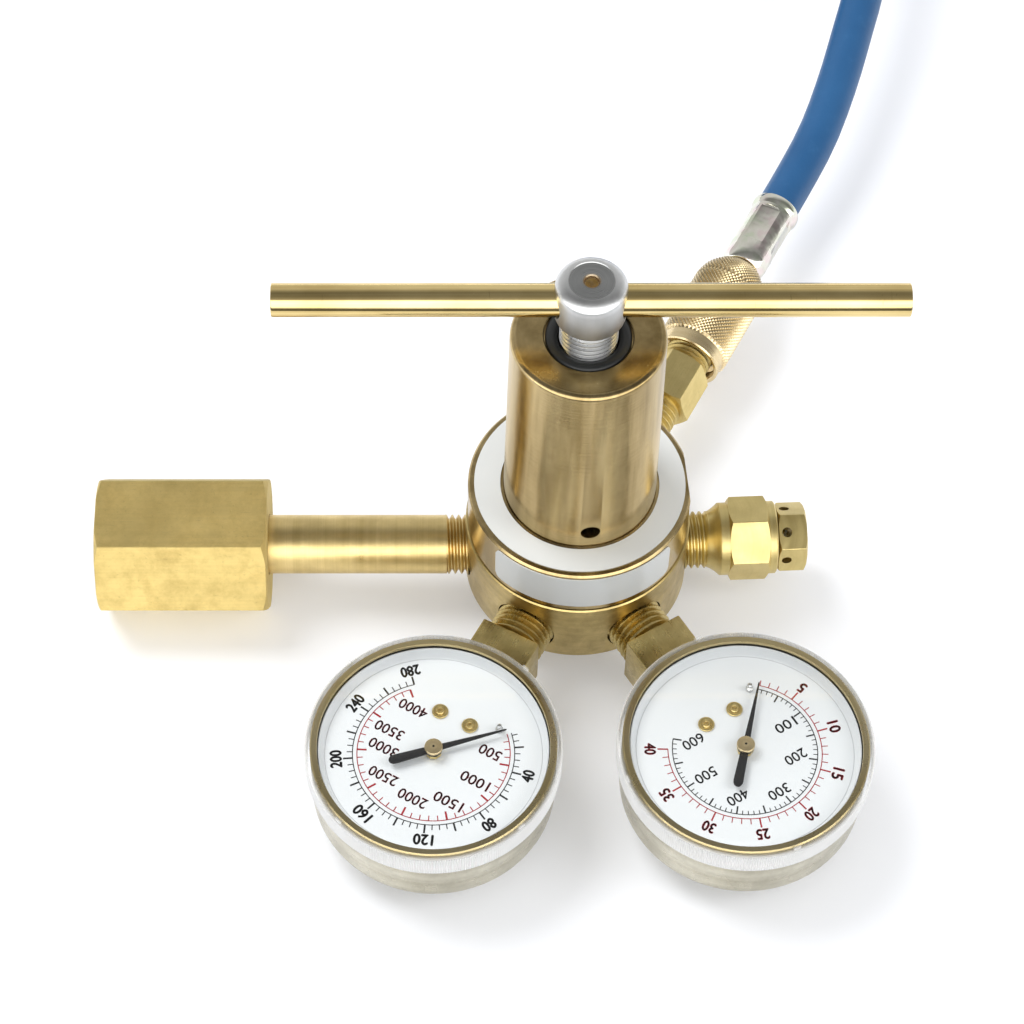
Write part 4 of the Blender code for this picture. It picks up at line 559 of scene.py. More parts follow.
curve = bpy.data.curves.new("blueHose", "CURVE")
curve.dimensions = "3D"
curve.bevel_depth = hose["radius"]
curve.bevel_resolution = 8
curve.use_fill_caps = True
spline = curve.splines.new("POLY")
spline.points.add(len(route) - 1)
for target, point in zip(spline.points, route):
    target.co = (*point, 1)
spline.use_smooth = True
blueHose = bpy.data.objects.new("blueHose", curve)
bpy.context.scene.collection.objects.link(blueHose)

hoseMaterial, wire, shader = newMaterial("blueRubber", Metallic=0.0)
coords = wire.node("ShaderNodeTexCoord", out=3)
clouds = cloudPattern(wire, coords, 70.0, 4.0)
weave = cloudPattern(wire, coords, 1300.0, 2.0)
scuffs = ramp(wire, cloudPattern(wire, coords, 240.0, 5.0, 0.7), (0.55, 0.0), (0.75, 1.0))
base = blendColour(wire, clouds, (0.009, 0.072, 0.195, 1), (0.020, 0.112, 0.275, 1))
worn = blendColour(wire, scuffs * 0.25, base, (0.05, 0.17, 0.36, 1))
bump = wire.node("ShaderNodeBump", None, {"Strength": 0.35, "Distance": 0.00008, "Height": weave + clouds * 0.6})
plug(wire, shader, Base_Color=worn, Roughness=0.42 + (clouds - 0.5) * 0.2 + scuffs * 0.12, Normal=bump)
curve.materials.append(hoseMaterial)
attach(blueHose, "regulator")
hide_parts("hose", "hose_coil")
print("hose is laid")


# hose fittings: swivel nut, nipple and crimped ferrule

fitting = {
    "sleeveStart": 0.0572, "sleeveEnd": 0.0865, "collarRadius": 0.0079, "collarLength": 0.0034,
    "mouthRadius": 0.0069, "threadRadius": 0.00585, "boreEnd": 0.0760, "tailHole": 0.0045,
    "knurlRadius": 0.0086, "domeStart": 0.0797, "domeEnd": 0.0858, "knurlTeeth": 52, "knurlDepth": 0.00034,
    "ferruleStart": 0.0871, "ferruleEnd": 0.1080, "neckRadius": 0.0040, "ferruleRadius": 0.0054,
    "shoulderEnd": 0.0903, "lipStart": 0.1056, "lipRadius": 0.00585,
    "dentDepth": 0.00065, "dentWidth": 0.0060, "dentLength": 0.0115, "dentMiddle": 0.0990, "dentRoll": 178.0, "dents": 4,
}


def knurledSleeve(name, place):
    # A grid of rings is turned first. Every second corner then goes in, which leaves the pyramids of a knurl.
    f = fitting
    knurlStart = f["sleeveStart"] + f["collarLength"] + 0.0005
    rings = [
        (f["threadRadius"], f["boreEnd"]),
        (f["threadRadius"], f["sleeveStart"] + 0.0034),
        (f["mouthRadius"], f["sleeveStart"] + 0.0030),
        (f["mouthRadius"], f["sleeveStart"] + 0.0002),
        (f["mouthRadius"] + 0.0002, f["sleeveStart"]),
        (f["collarRadius"] - 0.0003, f["sleeveStart"]),
        (f["collarRadius"], f["sleeveStart"] + 0.0003),
        (f["collarRadius"], knurlStart - 0.0006),
    ]
    knurled = []
    step = math.pi * f["knurlRadius"] / f["knurlTeeth"]
    height, radius, climb = knurlStart, f["knurlRadius"], 0.0
    while height < f["domeEnd"]:
        knurled.append((radius, height))
        if height + step < f["domeStart"]:
            height += step
        else:
            climb += step / f["knurlRadius"]
            radius = f["knurlRadius"] * math.cos(climb)
            height = f["domeStart"] + f["knurlRadius"] * math.sin(climb)
    rings += knurled
    lastRadius = knurled[-1][0]
    rings += [
        (lastRadius - 0.0006, f["sleeveEnd"] - 0.0001),
        (f["tailHole"] + 0.0002, f["sleeveEnd"]),
        (f["tailHole"], f["sleeveEnd"] - 0.0002),
        (f["tailHole"], f["boreEnd"]),
        (f["threadRadius"], f["boreEnd"]),
    ]
    piece = latheRings(name, rings, 2 * f["knurlTeeth"], closed=True)
    for row, (ringRadius, ringHeight) in enumerate(knurled):
        for vert in piece.data.vertices:
            if abs(vert.co.z - ringHeight) < 0.00001 and abs(math.hypot(vert.co.x, vert.co.y) - ringRadius) < 0.00002:
                column = round(math.atan2(vert.co.y, vert.co.x) / math.pi * f["knurlTeeth"])
                if (row + column) % 2 == 0:
                    share = 1 - f["knurlDepth"] / ringRadius
                    vert.co.x, vert.co.y = vert.co.x * share, vert.co.y * share
    pick(piece)
    bpy.ops.object.mode_set(mode="EDIT")
    bpy.ops.mesh.select_all(action="SELECT")
    bpy.ops.mesh.quads_convert_to_tris(quad_method="SHORTEST_DIAGONAL")
    bpy.ops.object.mode_set(mode="OBJECT")
    settle(piece, place)
    return soften(piece, 14)


def crimpedFerrule(name, place):
    # Thin pressed tube: a rounded shoulder at the neck, four crimped flats, a rolled lip at the hose
    f = fitting
    start, end, radius, lip = f["ferruleStart"], f["ferruleEnd"], f["ferruleRadius"], f["lipRadius"]
    rings = [(0.0027, start), (f["neckRadius"] - 0.0003, start), (f["neckRadius"], start + 0.0002)]
    reach, rise = f["shoulderEnd"] - start - 0.0002, radius - f["neckRadius"]
    for i in range(1, 9):
        angle = math.pi / 2 * i / 8
        rings.append((f["neckRadius"] + rise * math.sin(angle), start + 0.0002 + reach * (1 - math.cos(angle))))
    rings += [
        (radius, f["lipStart"] - 0.0002), (radius + 0.0001, f["lipStart"]), (lip - 0.0001, f["lipStart"] + 0.0005),
        (lip, f["lipStart"] + 0.0008), (lip, end - 0.0006), (lip - 0.0001, end - 0.0002), (lip - 0.0004, end),
        (lip - 0.0006, end), (0.0051, end - 0.0003), (0.0050, end - 0.0012), (0.0027, end - 0.0012), (0.0027, start),
    ]
    piece = latheRings(name, rings, 96, closed=True)
    for i in range(f["dents"]):
        turn = Matrix.Rotation(math.radians(f["dentRoll"]) + 2 * math.pi * i / f["dents"], 4, "Z")
        low = radius - f["dentDepth"]
        tool = blockTool((0.004, f["dentWidth"], f["dentLength"]), (low + 0.002, 0, f["dentMiddle"]), turn, 0.0009)
        cutWith(piece, tool)
    applyModifier(piece, "BEVEL", width=0.00022, segments=3, limit_method="ANGLE", angle_limit=math.radians(24))
    settle(piece, place)
    return soften(piece, 40)


def platedZinc(name, place):
    # Bright zinc with the faint rainbow of its passivation
    material, wire, shader = newMaterial(name, Metallic=1.0)
    local = localCoords(wire, place)
    clouds = cloudPattern(wire, local, 95.0, 3.0)
    film = cloudPattern(wire, local, 210.0, 2.0, 0.5)
    fine = cloudPattern(wire, stretched(wire, local, 900, 900, 90), 1.0, 3.0)
    base = blendColour(wire, ramp(wire, clouds, (0.35, 0.0), (0.65, 1.0)), tones["zincDark"], tones["zincLight"])
    pink = blendColour(wire, ramp(wire, film, (0.52, 0.0), (0.62, 0.55)), base, (0.78, 0.62, 0.63, 1))
    green = blendColour(wire, ramp(wire, film, (0.36, 0.5), (0.46, 0.0)), pink, (0.60, 0.70, 0.50, 1))
    bump = wire.node("ShaderNodeBump", None, {"Strength": 0.4, "Distance": 0.0001, "Height": fine * 0.3 + clouds * 6.0 + film * 3.0})
    plug(wire, shader, Base_Color=green, Roughness=0.10 + (clouds - 0.5) * 0.10 + (fine - 0.5) * 0.08, Normal=bump)
    return material


outletPlace = alongPort(62.3)
endPlace = Matrix.Translation((-0.112431, 0.295, 0.0087)) @ Matrix.Rotation(math.pi / 2, 4, "Y")
sleeveFinish = {}
for side, place, sleeveBody in (("outlet", outletPlace, "outlet_sleeve"), ("hose_end", endPlace, "hose_end_sleeve")):
    brightBrass = turnedMetal(side + "SleeveBrass", place, tones["sleeveLight"], tones["sleeveDark"], 0.20, 0.25, 1.0, 0.15)
    zinc = platedZinc(side + "Zinc", place)
    rubber = plainSurface(side + "Gasket", tones["rubber"], 0.6)
    sleeve = finishPiece(knurledSleeve(side + "Sleeve", place), brightBrass, sleeveBody, side + "_sleeve", slot="bright_brass")
    ferrule = finishPiece(crimpedFerrule(side + "Ferrule", place), zinc, "regulator", side + "_ferrule", slot="zinc_plate")
    nipple = cadNodes[side + "_nipple"]
    nipple.data.materials.clear()
    nipple.data.materials.append(brightBrass)
    gasket = cadNodes[side + "_gasket"]
    gasket.data.materials.clear()
    gasket.data.materials.append(rubber)
print("hose fittings are made")


# valve body and back cap

bodySize = {
    "radius": 0.0246, "bottom": 0.0071, "top": 0.0262, "bottomChamfer": 0.0009, "topChamfer": 0.0003,
    "recess": 0.0215, "boltHole": 0.0069, "reliefHole": 0.00665, "holeDepth": 0.0125,
}


def makeBody():
    b = bodySize
    rings = [
        (0.010, b["bottom"]), (b["radius"] - b["bottomChamfer"], b["bottom"]),
        (b["radius"] - 0.0001, b["bottom"] + b["bottomChamfer"] - 0.0001), (b["radius"], b["bottom"] + b["bottomChamfer"] + 0.0002),
        (b["radius"], b["top"] - b["topChamfer"]), (b["radius"] - b["topChamfer"], b["top"]),
        (b["recess"], b["top"]), (b["recess"], 0.0232), (0.010, 0.0232), (0.010, b["bottom"]),
    ]
    piece = latheRings("valveBody", rings, 160, closed=True)
    for degrees in (180.0, -118.9, -58.85, 62.3):
        hole = roundTool(b["boltHole"], b["holeDepth"], 0.03, alongPort(degrees))
        cutWith(piece, hole)
    cutWith(piece, roundTool(b["reliefHole"], b["holeDepth"], 0.03, alongPort(2.5)))
    return soften(settle(piece), 25)


bodyBrass = turnedMetal("bodyBrass", upright, tones["brassLight"], tones["brassDark"], 0.32, 0.8, 1.0, 0.45)
finishPiece(makeBody(), bodyBrass, "regulator", "valve_body", slot="brass")
capBrass = turnedMetal("capBrass", upright, tones["oliveLight"], tones["oliveDark"], 0.36, 0.6, 1.0, 0.4)
backCap = hexBar("backCap", 0.031, 0.0, 0.0058, 0.0006, 0.0, upright)
finishPiece(backCap, capBrass, "regulator", "back_cap", slot="brass")
print("body is made")


# bonnet, its printed ring and its side label

bonnetSize = {
    "flangeRadius": 0.0242, "flangeBottom": 0.0265, "flangeTop": 0.03945, "edge": 0.0004, "flatDistance": 0.02335,
    "flatTurn": 4.5, "baseRadius": 0.0165, "topRadius": 0.016, "top": 0.0928, "topRounding": 0.0012,
    "countersink": 0.0092, "countersinkFloor": 0.0091, "countersinkDepth": 0.0016, "screwHole": 0.0063,
    "ventRadius": 0.0021, "ventHeight": 0.04485, "ventTurn": -84.0,
}


def makeBonnet():
    b = bonnetSize
    rings = [(b["screwHole"], b["top"] - b["countersinkDepth"]), (b["countersinkFloor"], b["top"] - b["countersinkDepth"])]
    rings += [(b["countersink"] - 0.0001, b["top"] - 0.0002), (b["countersink"] + 0.0001, b["top"])]
    for i in range(7):
        angle = math.pi / 2 * (1 - i / 6)
        rounding = b["topRounding"]
        radius = b["topRadius"] - rounding + rounding * math.cos(angle)
        rings.append((radius, b["top"] - rounding + rounding * math.sin(angle)))
    rings += [
        (b["baseRadius"], b["flangeTop"] + 0.00035), (b["baseRadius"] + 0.0001, b["flangeTop"] + 0.0001),
        (b["baseRadius"] + 0.00035, b["flangeTop"]), (b["flangeRadius"] - b["edge"], b["flangeTop"]),
        (b["flangeRadius"] - 0.0001, b["flangeTop"] - b["edge"] + 0.0001), (b["flangeRadius"], b["flangeTop"] - b["edge"]),
        (b["flangeRadius"], b["flangeBottom"] + 0.0001), (b["flangeRadius"] - 0.0002, b["flangeBottom"]),
        (0.0212, b["flangeBottom"]), (0.0212, 0.0256), (0.0133, 0.0256), (0.0133, 0.0828), (b["screwHole"], 0.0828),
        (b["screwHole"], b["top"] - b["countersinkDepth"]),
    ]
    piece = latheRings("bonnetShell", rings, 160, closed=True)
    turn = Matrix.Rotation(math.radians(b["flatTurn"]), 4, "Z")
    cutWith(piece, blockTool((0.01, 0.05, 0.015), (b["flatDistance"] + 0.005, 0, 0.033), turn))
    side = Matrix.Translation((0, 0, b["ventHeight"])) @ Matrix.Rotation(math.radians(b["ventTurn"]), 4, "Z")
    cutWith(piece, roundTool(b["ventRadius"], 0.010, 0.02, side @ Matrix.Rotation(math.pi / 2, 4, "Y"), 40))
    return soften(settle(piece), 25)


def polishedBonnet():
    # Nearly a mirror: upright streaks that are painted reflections in the colour and wipe marks in gloss and height,
    # soft stains, faint turning rings, a few fine scratches
    material, wire, shader = newMaterial("bonnetBrass", Metallic=1.0)
    local = wire.node("ShaderNodeTexCoord", out=3)
    parts = wire.node("ShaderNodeSeparateXYZ", None, {0: local})
    x, y = parts, Wire(wire.tree, parts.socket.node.outputs[1])
    z = Wire(wire.tree, parts.socket.node.outputs[2])
    radius = (x * x + y * y) ** 0.5
    rings = wire.node("ShaderNodeTexNoise", {"noise_dimensions": "1D"}, {"W": z + radius * 1.3, "Scale": 2600.0, "Detail": 3.0})
    wipeStreaksAndPaintedReflections = cloudPattern(wire, stretched(wire, local, 190, 190, 14), 1.0, 4.0, 0.6)
    broadPaintedReflections = cloudPattern(wire, stretched(wire, local, 60, 60, 16), 1.0, 2.0)
    clouds = cloudPattern(wire, local, 150.0, 5.0, 0.65)
    scratches = ramp(wire, cloudPattern(wire, stretched(wire, local, 420, 2300, 900), 1.0, 2.0), (0.70, 0.0), (0.74, 1.0))
    # painted reflection: upright streaks swing the colour between the dark and light bonnet tones
    tone = ramp(wire, wipeStreaksAndPaintedReflections * 0.45 + broadPaintedReflections * 0.35 + rings * 0.1 + clouds * 0.1, (0.40, 0.0), (0.57, 1.0))
    colour = blendColour(wire, tone, tones["bonnetDark"], tones["bonnetLight"])
    stains = ramp(wire, clouds, (0.60, 0.0), (0.74, 0.5))
    marked = blendColour(wire, stains + scratches * 0.2, colour, (0.24, 0.17, 0.07, 1))
    # painted shade: the flat top of the bonnet is darkened in its colour
    flat = ramp(wire, radius, (0.0145, 1.0), (0.0149, 0.0)) * ramp(wire, z, (0.0920, 0.0), (0.0926, 1.0))
    paintedShadeTop = blendColour(wire, flat * (0.20 + rings * 0.35), marked, (0.20, 0.135, 0.045, 1))  # the top is darker
    roughness = 0.21 + (clouds - 0.4) * 0.16 + (wipeStreaksAndPaintedReflections - 0.5) * 0.10 + flat * 0.02
    bump = wire.node(
        "ShaderNodeBump", None,
        {"Strength": 0.16, "Distance": 0.00005, "Height": rings + wipeStreaksAndPaintedReflections * 1.6 - scratches * 1.2},
    )
    plug(wire, shader, Base_Color=paintedShadeTop, Roughness=roughness, Normal=bump)
    return material


bonnetBrass = polishedBonnet()
finishPiece(makeBonnet(), bonnetBrass, "regulator", "bonnet", slot="brass")

labelSize = {
    "ringInner": 0.0172, "ringOuter": 0.02285, "ringBottom": 0.0395, "ringTop": 0.0397,
    "bandInside": 0.02425, "bandOutside": 0.02445, "bandBottom": 0.02815, "bandTop": 0.03855,
    "bandStart": -138.5, "bandEnd": -38.5, "bandCorner": 0.0016,
}
film = plainSurface("labelFilm", tones["white"], 0.22, 0.0, 0.05, 300.0, 0.02)


def makeLabelRing():
    s = labelSize
    rings = [
        (s["ringInner"], s["ringBottom"]), (s["ringOuter"], s["ringBottom"]), (s["ringOuter"], s["ringTop"]),
        (s["ringInner"], s["ringTop"]), (s["ringInner"], s["ringBottom"]),
    ]
    return turnPiece("labelRing", rings, None, 128, closed=True)


def makeLabelBand():
    # A flat strip with round corners is wrapped round the flange
    s = labelSize
    start, end = math.radians(s["bandStart"]), math.radians(s["bandEnd"])
    length = (end - start) * s["bandInside"]
    deselectAll()
    bpy.ops.mesh.primitive_grid_add(x_subdivisions=80, y_subdivisions=8, size=1, location=(0, 0, 0))
    piece = bpy.context.object
    piece.name = "labelBand"
    height = s["bandTop"] - s["bandBottom"]
    for vert in piece.data.vertices:
        along, up = vert.co.x * length, vert.co.y * height
        reach = length / 2 - s["bandCorner"]
        if abs(along) > reach:  # pulls the ends in to quarter rounds
            inset = (abs(along) - reach) / s["bandCorner"]
            limit = height / 2 - s["bandCorner"] * (1 - math.sqrt(max(0.0, 1 - min(1.0, inset) ** 2)))
            up = max(-limit, min(limit, up * limit / (height / 2)))
        angle = (start + end) / 2 + along / s["bandInside"]
        middle = (s["bandTop"] + s["bandBottom"]) / 2
        vert.co = (s["bandInside"] * math.cos(angle), s["bandInside"] * math.sin(angle), middle + up)
    applyModifier(piece, "SOLIDIFY", thickness=s["bandOutside"] - s["bandInside"], offset=1.0)
    return soften(settle(piece), 40)


finishPiece(makeLabelRing(), film, "regulator", "label_ring", slot="white_label")
finishPiece(makeLabelBand(), film, "regulator", "label_band", slot="white_label")
blackRubber = plainSurface("blackRubber", tones["rubber"], 0.35)
# A black rubber ring round the screw, widened over the countersink floor: partly a real ring, partly painted shade for
# the dark countersink
screwRingAndPaintedShade = turnPiece(
    "screwRingAndPaintedShade",
    [(0.0063, 0.0915), (0.0088, 0.0915), (0.0088, 0.0923), (0.0086, 0.0926), (0.0080, 0.0929), (0.0074, 0.0930), (0.0067, 0.0928), (0.0063, 0.0924), (0.0063, 0.0915)],
    None, 96, closed=True,
)
finishPiece(screwRingAndPaintedShade, blackRubber, "regulator", "screw_ring", slot="rubber")
print("bonnet and labels are made")


# adjusting screw and cross bar

screwSize = {
    "headBottom": 0.0996, "headRadius": 0.0073, "headSide": 0.10845, "headTop": 0.1107, "discRadius": 0.0047,
    "centreRadius": 0.0015, "shankRadius": 0.006, "threadDepth": 0.0007, "pitch": 0.00127, "tip": 0.0726,
    "barRadius": 0.00343, "barHeight": 0.1044, "barLength": 0.1272,
}


def makeScrewHead():
    s = screwSize
    rings = [(s["shankRadius"] - 0.0008, s["tip"]), (s["shankRadius"] - 0.0007, s["headBottom"])]
    rings += [(s["headRadius"] - 0.0009, s["headBottom"]), (s["headRadius"] - 0.0001, s["headBottom"] + 0.0008)]
    rings += [(s["headRadius"], s["headBottom"] + 0.0012), (s["headRadius"], s["headSide"])]
    wide, tall = s["headRadius"] - s["discRadius"], s["headTop"] - s["headSide"]
    for i in range(1, 10):
        angle = math.pi / 2 * i / 10
        rings.append((s["discRadius"] + wide * math.cos(angle) ** 1.2, s["headSide"] + tall * math.sin(angle) ** 1.2))
    rings += [
        (s["discRadius"], s["headTop"]), (s["discRadius"] - 0.00012, s["headTop"] - 0.00015),
        (s["centreRadius"] + 0.0002, s["headTop"] - 0.00015), (s["centreRadius"], s["headTop"] - 0.0004),
        (s["centreRadius"] - 0.0001, s["headTop"] - 0.0009), (0.0002, s["headTop"] - 0.0015),
    ]
    piece = latheRings("screwHead", rings, 128)
    across = Matrix.Translation((0, 0, s["barHeight"])) @ Matrix.Rotation(math.pi / 2, 4, "Y")
    cutWith(piece, roundTool(s["barRadius"] + 0.0003, -0.01, 0.01, across, 64))
    return soften(settle(piece), 28)


def headSteel():
    # Polished crown, satin barrel with upright grinding marks, turned disc, brassy centre; the disc and, less, the
    # barrel are darkened as painted shade
    material, wire, shader = newMaterial("headSteel", Metallic=1.0)
    local = wire.node("ShaderNodeTexCoord", out=3)
    parts = wire.node("ShaderNodeSeparateXYZ", None, {0: local})
    x, y = parts, Wire(wire.tree, parts.socket.node.outputs[1])
    z = Wire(wire.tree, parts.socket.node.outputs[2])
    radius = (x * x + y * y) ** 0.5
    rings = wire.node("ShaderNodeTexNoise", {"noise_dimensions": "1D"}, {"W": radius, "Scale": 5200.0, "Detail": 2.0})
    grind = cloudPattern(wire, stretched(wire, local, 900, 900, 60), 1.0, 3.0, 0.6)
    clouds = cloudPattern(wire, local, 230.0, 4.0, 0.6)
    barrel = ramp(wire, z, (0.1074, 1.0), (0.1086, 0.0))
    disc = ramp(wire, radius, (0.0045, 1.0), (0.00475, 0.0)) * ramp(wire, z, (0.1095, 0.0), (0.1104, 1.0))
    centre = ramp(wire, radius, (0.0012, 1.0), (0.0020, 0.0)) * ramp(wire, z, (0.108, 0.0), (0.1088, 1.0))
    colour = blendColour(wire, clouds * 0.6 + grind * 0.4, tones["steelDark"], tones["steelLight"])
    # painted shade: the top disc and, more faintly, the barrel are darkened towards grey-black
    paintedShadeDiscAndBarrel = blendColour(wire, disc * (0.5 + rings * 0.4) + barrel * 0.25, colour, (0.19, 0.195, 0.19, 1))
    brassy = blendColour(wire, centre * (0.4 + clouds), paintedShadeDiscAndBarrel, (0.42, 0.27, 0.09, 1))
    roughness = 0.34 + barrel * 0.06 - disc * 0.08 + centre * 0.15 + (clouds - 0.5) * 0.10 + barrel * (grind - 0.5) * 0.2
    height = rings * disc * 5.0 + grind * barrel * 1.6 + clouds * centre * 8.0 + clouds * 0.3
    bump = wire.node("ShaderNodeBump", None, {"Strength": 0.25, "Distance": 0.00006, "Height": height})
    plug(wire, shader, Base_Color=brassy, Roughness=roughness, Normal=bump)
    return material


def polishedBar():
    # Drawn and polished rod: long die lines, handling scratches across them, faint tarnish
    material, wire, shader = newMaterial("barBrass", Metallic=1.0)
    local = localCoords(wire, barPlace)
    lines = cloudPattern(wire, stretched(wire, local, 1500, 1500, 10), 1.0, 3.0)
    clouds = cloudPattern(wire, stretched(wire, local, 90, 90, 45), 1.0, 4.0, 0.6)
    scratches = ramp(wire, cloudPattern(wire, stretched(wire, local, 300, 300, 2400), 1.0, 2.0), (0.69, 0.0), (0.73, 1.0))
    tone = ramp(wire, clouds * 0.6 + lines * 0.4, (0.38, 0.0), (0.62, 1.0))
    colour = blendColour(wire, tone, tones["brightDark"], tones["brightLight"])
    marked = blendColour(wire, scratches * 0.18, colour, (0.22, 0.16, 0.06, 1))
    roughness = 0.08 + (clouds - 0.4) * 0.10 + (lines - 0.5) * 0.06
    bump = wire.node("ShaderNodeBump", None, {"Strength": 0.12, "Distance": 0.00004, "Height": lines - scratches * 0.8})
    plug(wire, shader, Base_Color=marked, Roughness=roughness, Normal=bump)
    return material


steelScrew = turnedMetal("screwSteel", upright, tones["steelLight"], tones["steelDark"], 0.22, 0.8, 1.0, 0.12)
finishPiece(makeScrewHead(), headSteel(), "adjuster", "adjusting_screw", slot="steel")
screwThread = threadPiece("screwThread", screwSize["shankRadius"], screwSize["threadDepth"], screwSize["pitch"], 0.0733, 20, upright, 48)
finishPiece(screwThread, steelScrew, "adjuster", slot="steel")

barPlace = Matrix.Translation((0, 0, screwSize["barHeight"])) @ Matrix.Rotation(math.pi / 2, 4, "Y")
half, barRadius = screwSize["barLength"] / 2, screwSize["barRadius"]
barRings = [
    (barRadius - 0.00035, -half), (barRadius - 0.0001, 0.0001 - half), (barRadius, 0.00035 - half),
    (barRadius, half - 0.00035), (barRadius - 0.0001, half - 0.0001), (barRadius - 0.00035, half),
]
finishPiece(turnPiece("crossBar", barRings, barPlace, 72), polishedBar(), "adjuster", "cross_bar", slot="bright_brass")
print("adjusting screw is made")


# inlet stem and nut

inletSize = {
    "tubeRadius": 0.00654, "threadCrest": 0.0066, "threadDepth": 0.0009, "pipePitch": 0.00141, "threadStart": 0.0212,
    "nutStart": 0.0683, "nutEnd": 0.1059, "flats": 0.0286, "roll": 24.5, "chamfer": 0.0010, "bore": 0.0109,
    "stemHole": 0.00684, "wall": 0.005,
}
inletPlace = alongPort(180.0)


def makeNut():
    s = inletSize
    piece = hexBar("inletNut", s["flats"], s["nutStart"], s["nutEnd"], s["chamfer"], s["roll"], inletPlace, 0.0003)
    rings = [
        (s["stemHole"], s["nutStart"] - 0.002), (s["stemHole"], s["nutStart"] + s["wall"]), (s["bore"], s["nutStart"] + s["wall"]),
        (s["bore"], s["nutEnd"] - 0.001), (s["bore"] + 0.006, s["nutEnd"] + 0.005),
    ]
    cutWith(piece, settle(latheRings("nutBore", rings, 96), inletPlace))
    return soften(piece, 25)


def makeNipple():
    s = inletSize
    rings = [
        (s["tubeRadius"] - 0.0012, 0.013), (s["tubeRadius"] - 0.0011, 0.0284), (s["tubeRadius"], 0.0288), (s["tubeRadius"], 0.0736),
        (0.0100, 0.0736), (0.0102, 0.0738), (0.0102, 0.0784), (0.0100, 0.0786), (0.0072, 0.0786), (0.0072, 0.0844),
    ]
    for i in range(1, 8):
        share = i / 7
        rings.append((0.0072 - 0.0030 * share**2.2, 0.0844 + 0.0072 * share))
    rings += [(0.0033, 0.0916), (0.0033, 0.0863), (0.0004, 0.0863)]
    return turnPiece("inletNipple", rings, inletPlace, 96)


nutBrass = drawnMetal("nutBrass", inletPlace, tones["nutLight"], tones["nutDark"], 0.72, 0.14)
finishPiece(makeNut(), nutBrass, "inlet_nut", "inlet_nut", slot="brass")
stemBrass = turnedMetal("stemBrass", inletPlace, tones["brightLight"], tones["brightDark"], 0.32, 0.3, 0.8, 0.2)
finishPiece(makeNipple(), stemBrass, "regulator", "inlet_nipple", slot="brass")
inletThread = threadPiece("inletThread", inletSize["threadCrest"], inletSize["threadDepth"], inletSize["pipePitch"], 0.0203, 6, inletPlace)
finishPiece(inletThread, stemBrass, "regulator", slot="brass")
print("inlet is made")


# relief valve

reliefSize = {
    "thread": 0.00635, "threadDepth": 0.0008, "pitch": 0.00141, "neck": 0.0059, "disc": 0.0081, "hexStart": 0.0334, "hexEnd": 0.0428,
    "flats": 0.0163, "roll": 11.0, "chamfer": 0.0009, "collarEnd": 0.0443, "bore": 0.0043, "capStart": 0.0446, "capEnd": 0.0509,
    "capFlats": 0.0134, "capRoll": 55.0, "capChamfer": 0.0005, "ventRadius": 0.0011, "ventPlace": 0.0464,
}
reliefPlace = alongPort(2.5)


def makeReliefBody():
    s = reliefSize
    rings = [
        (s["thread"] - 0.0008, 0.013), (s["thread"] - 0.0008, 0.0282), (s["neck"], 0.0285), (s["neck"] + 0.0002, 0.0288),
        (0.0065, 0.0297), (0.0071, 0.0306), (0.0077, 0.0313), (s["disc"] - 0.0001, 0.0316), (s["disc"], 0.0318), (s["disc"], s["collarEnd"] - 0.0003), (s["disc"] - 0.0003, s["collarEnd"]),
    ]
    piece = latheRings("reliefBody", rings, 96)
    settle(piece, reliefPlace)
    bar = hexBar("reliefHex", s["flats"], s["hexStart"], s["hexEnd"], s["chamfer"], s["roll"], reliefPlace)
    cutWith(piece, bar, "UNION")
    return soften(piece, 25)


def makeReliefCap():
    s = reliefSize
    piece = hexBar("reliefCap", s["capFlats"], s["capStart"], s["capEnd"], s["capChamfer"], s["capRoll"], reliefPlace)
    cutWith(piece, roundTool(0.0032, s["capStart"] - 0.001, s["capEnd"] - 0.0015, reliefPlace))
    for i in range(3):
        turn = Matrix.Rotation(math.radians(s["capRoll"] + 30 + 60 * i), 4, "Z")
        across = reliefPlace @ Matrix.Translation((0, 0, s["ventPlace"])) @ turn @ Matrix.Rotation(math.pi / 2, 4, "Y")
        cutWith(piece, roundTool(s["ventRadius"], -0.009, 0.009, across, 32))
    return soften(piece, 25)


reliefBrass = turnedMetal("reliefBrass", reliefPlace, tones["nutLight"], tones["nutDark"], 0.34, 0.3, 0.8, 0.15)
finishPiece(makeReliefBody(), reliefBrass, "regulator", "relief_body", slot="bright_brass")
finishPiece(makeReliefCap(), reliefBrass, "regulator", "relief_cap", slot="bright_brass")
reliefThread = threadPiece("reliefThread", reliefSize["thread"], reliefSize["threadDepth"], reliefSize["pitch"], 0.0208, 6, reliefPlace)
finishPiece(reliefThread, reliefBrass, "regulator", slot="bright_brass")
print("relief valve is made")


# outlet adapter

outletSize = {
    "bushingFlats": 0.0159, "bushingStart": 0.0252, "bushingEnd": 0.0306, "thread": 0.0053, "threadDepth": 0.0009,
    "pitch": 0.00141, "hexStart": 0.0426, "hexEnd": 0.0546, "flats": 0.0127, "roll": 42.0, "chamfer": 0.0005,
    "flare": 0.00555, "flareEnd": 0.0666, "noseEnd": 0.0688, "noseRadius": 0.0034,
}


def makeAdapter():
    s = outletSize
    rings = [
        (s["thread"] - 0.0010, 0.0198), (s["thread"] - 0.0010, 0.0415), (s["thread"] - 0.0003, 0.0422), (s["thread"] - 0.0003, 0.0450),
        (s["thread"], 0.0480), (s["flare"] - 0.0007, 0.0540), (s["flare"] - 0.0007, s["flareEnd"]), (s["noseRadius"], s["noseEnd"]),
    ]
    piece = settle(latheRings("outletAdapter", rings, 96), outletPlace)
    bar = hexBar("adapterHex", s["flats"], s["hexStart"], s["hexEnd"], s["chamfer"], s["roll"], outletPlace)
    cutWith(piece, bar, "UNION")
    cutWith(piece, roundTool(0.0022, 0.018, 0.073, outletPlace))
    return soften(piece, 25)


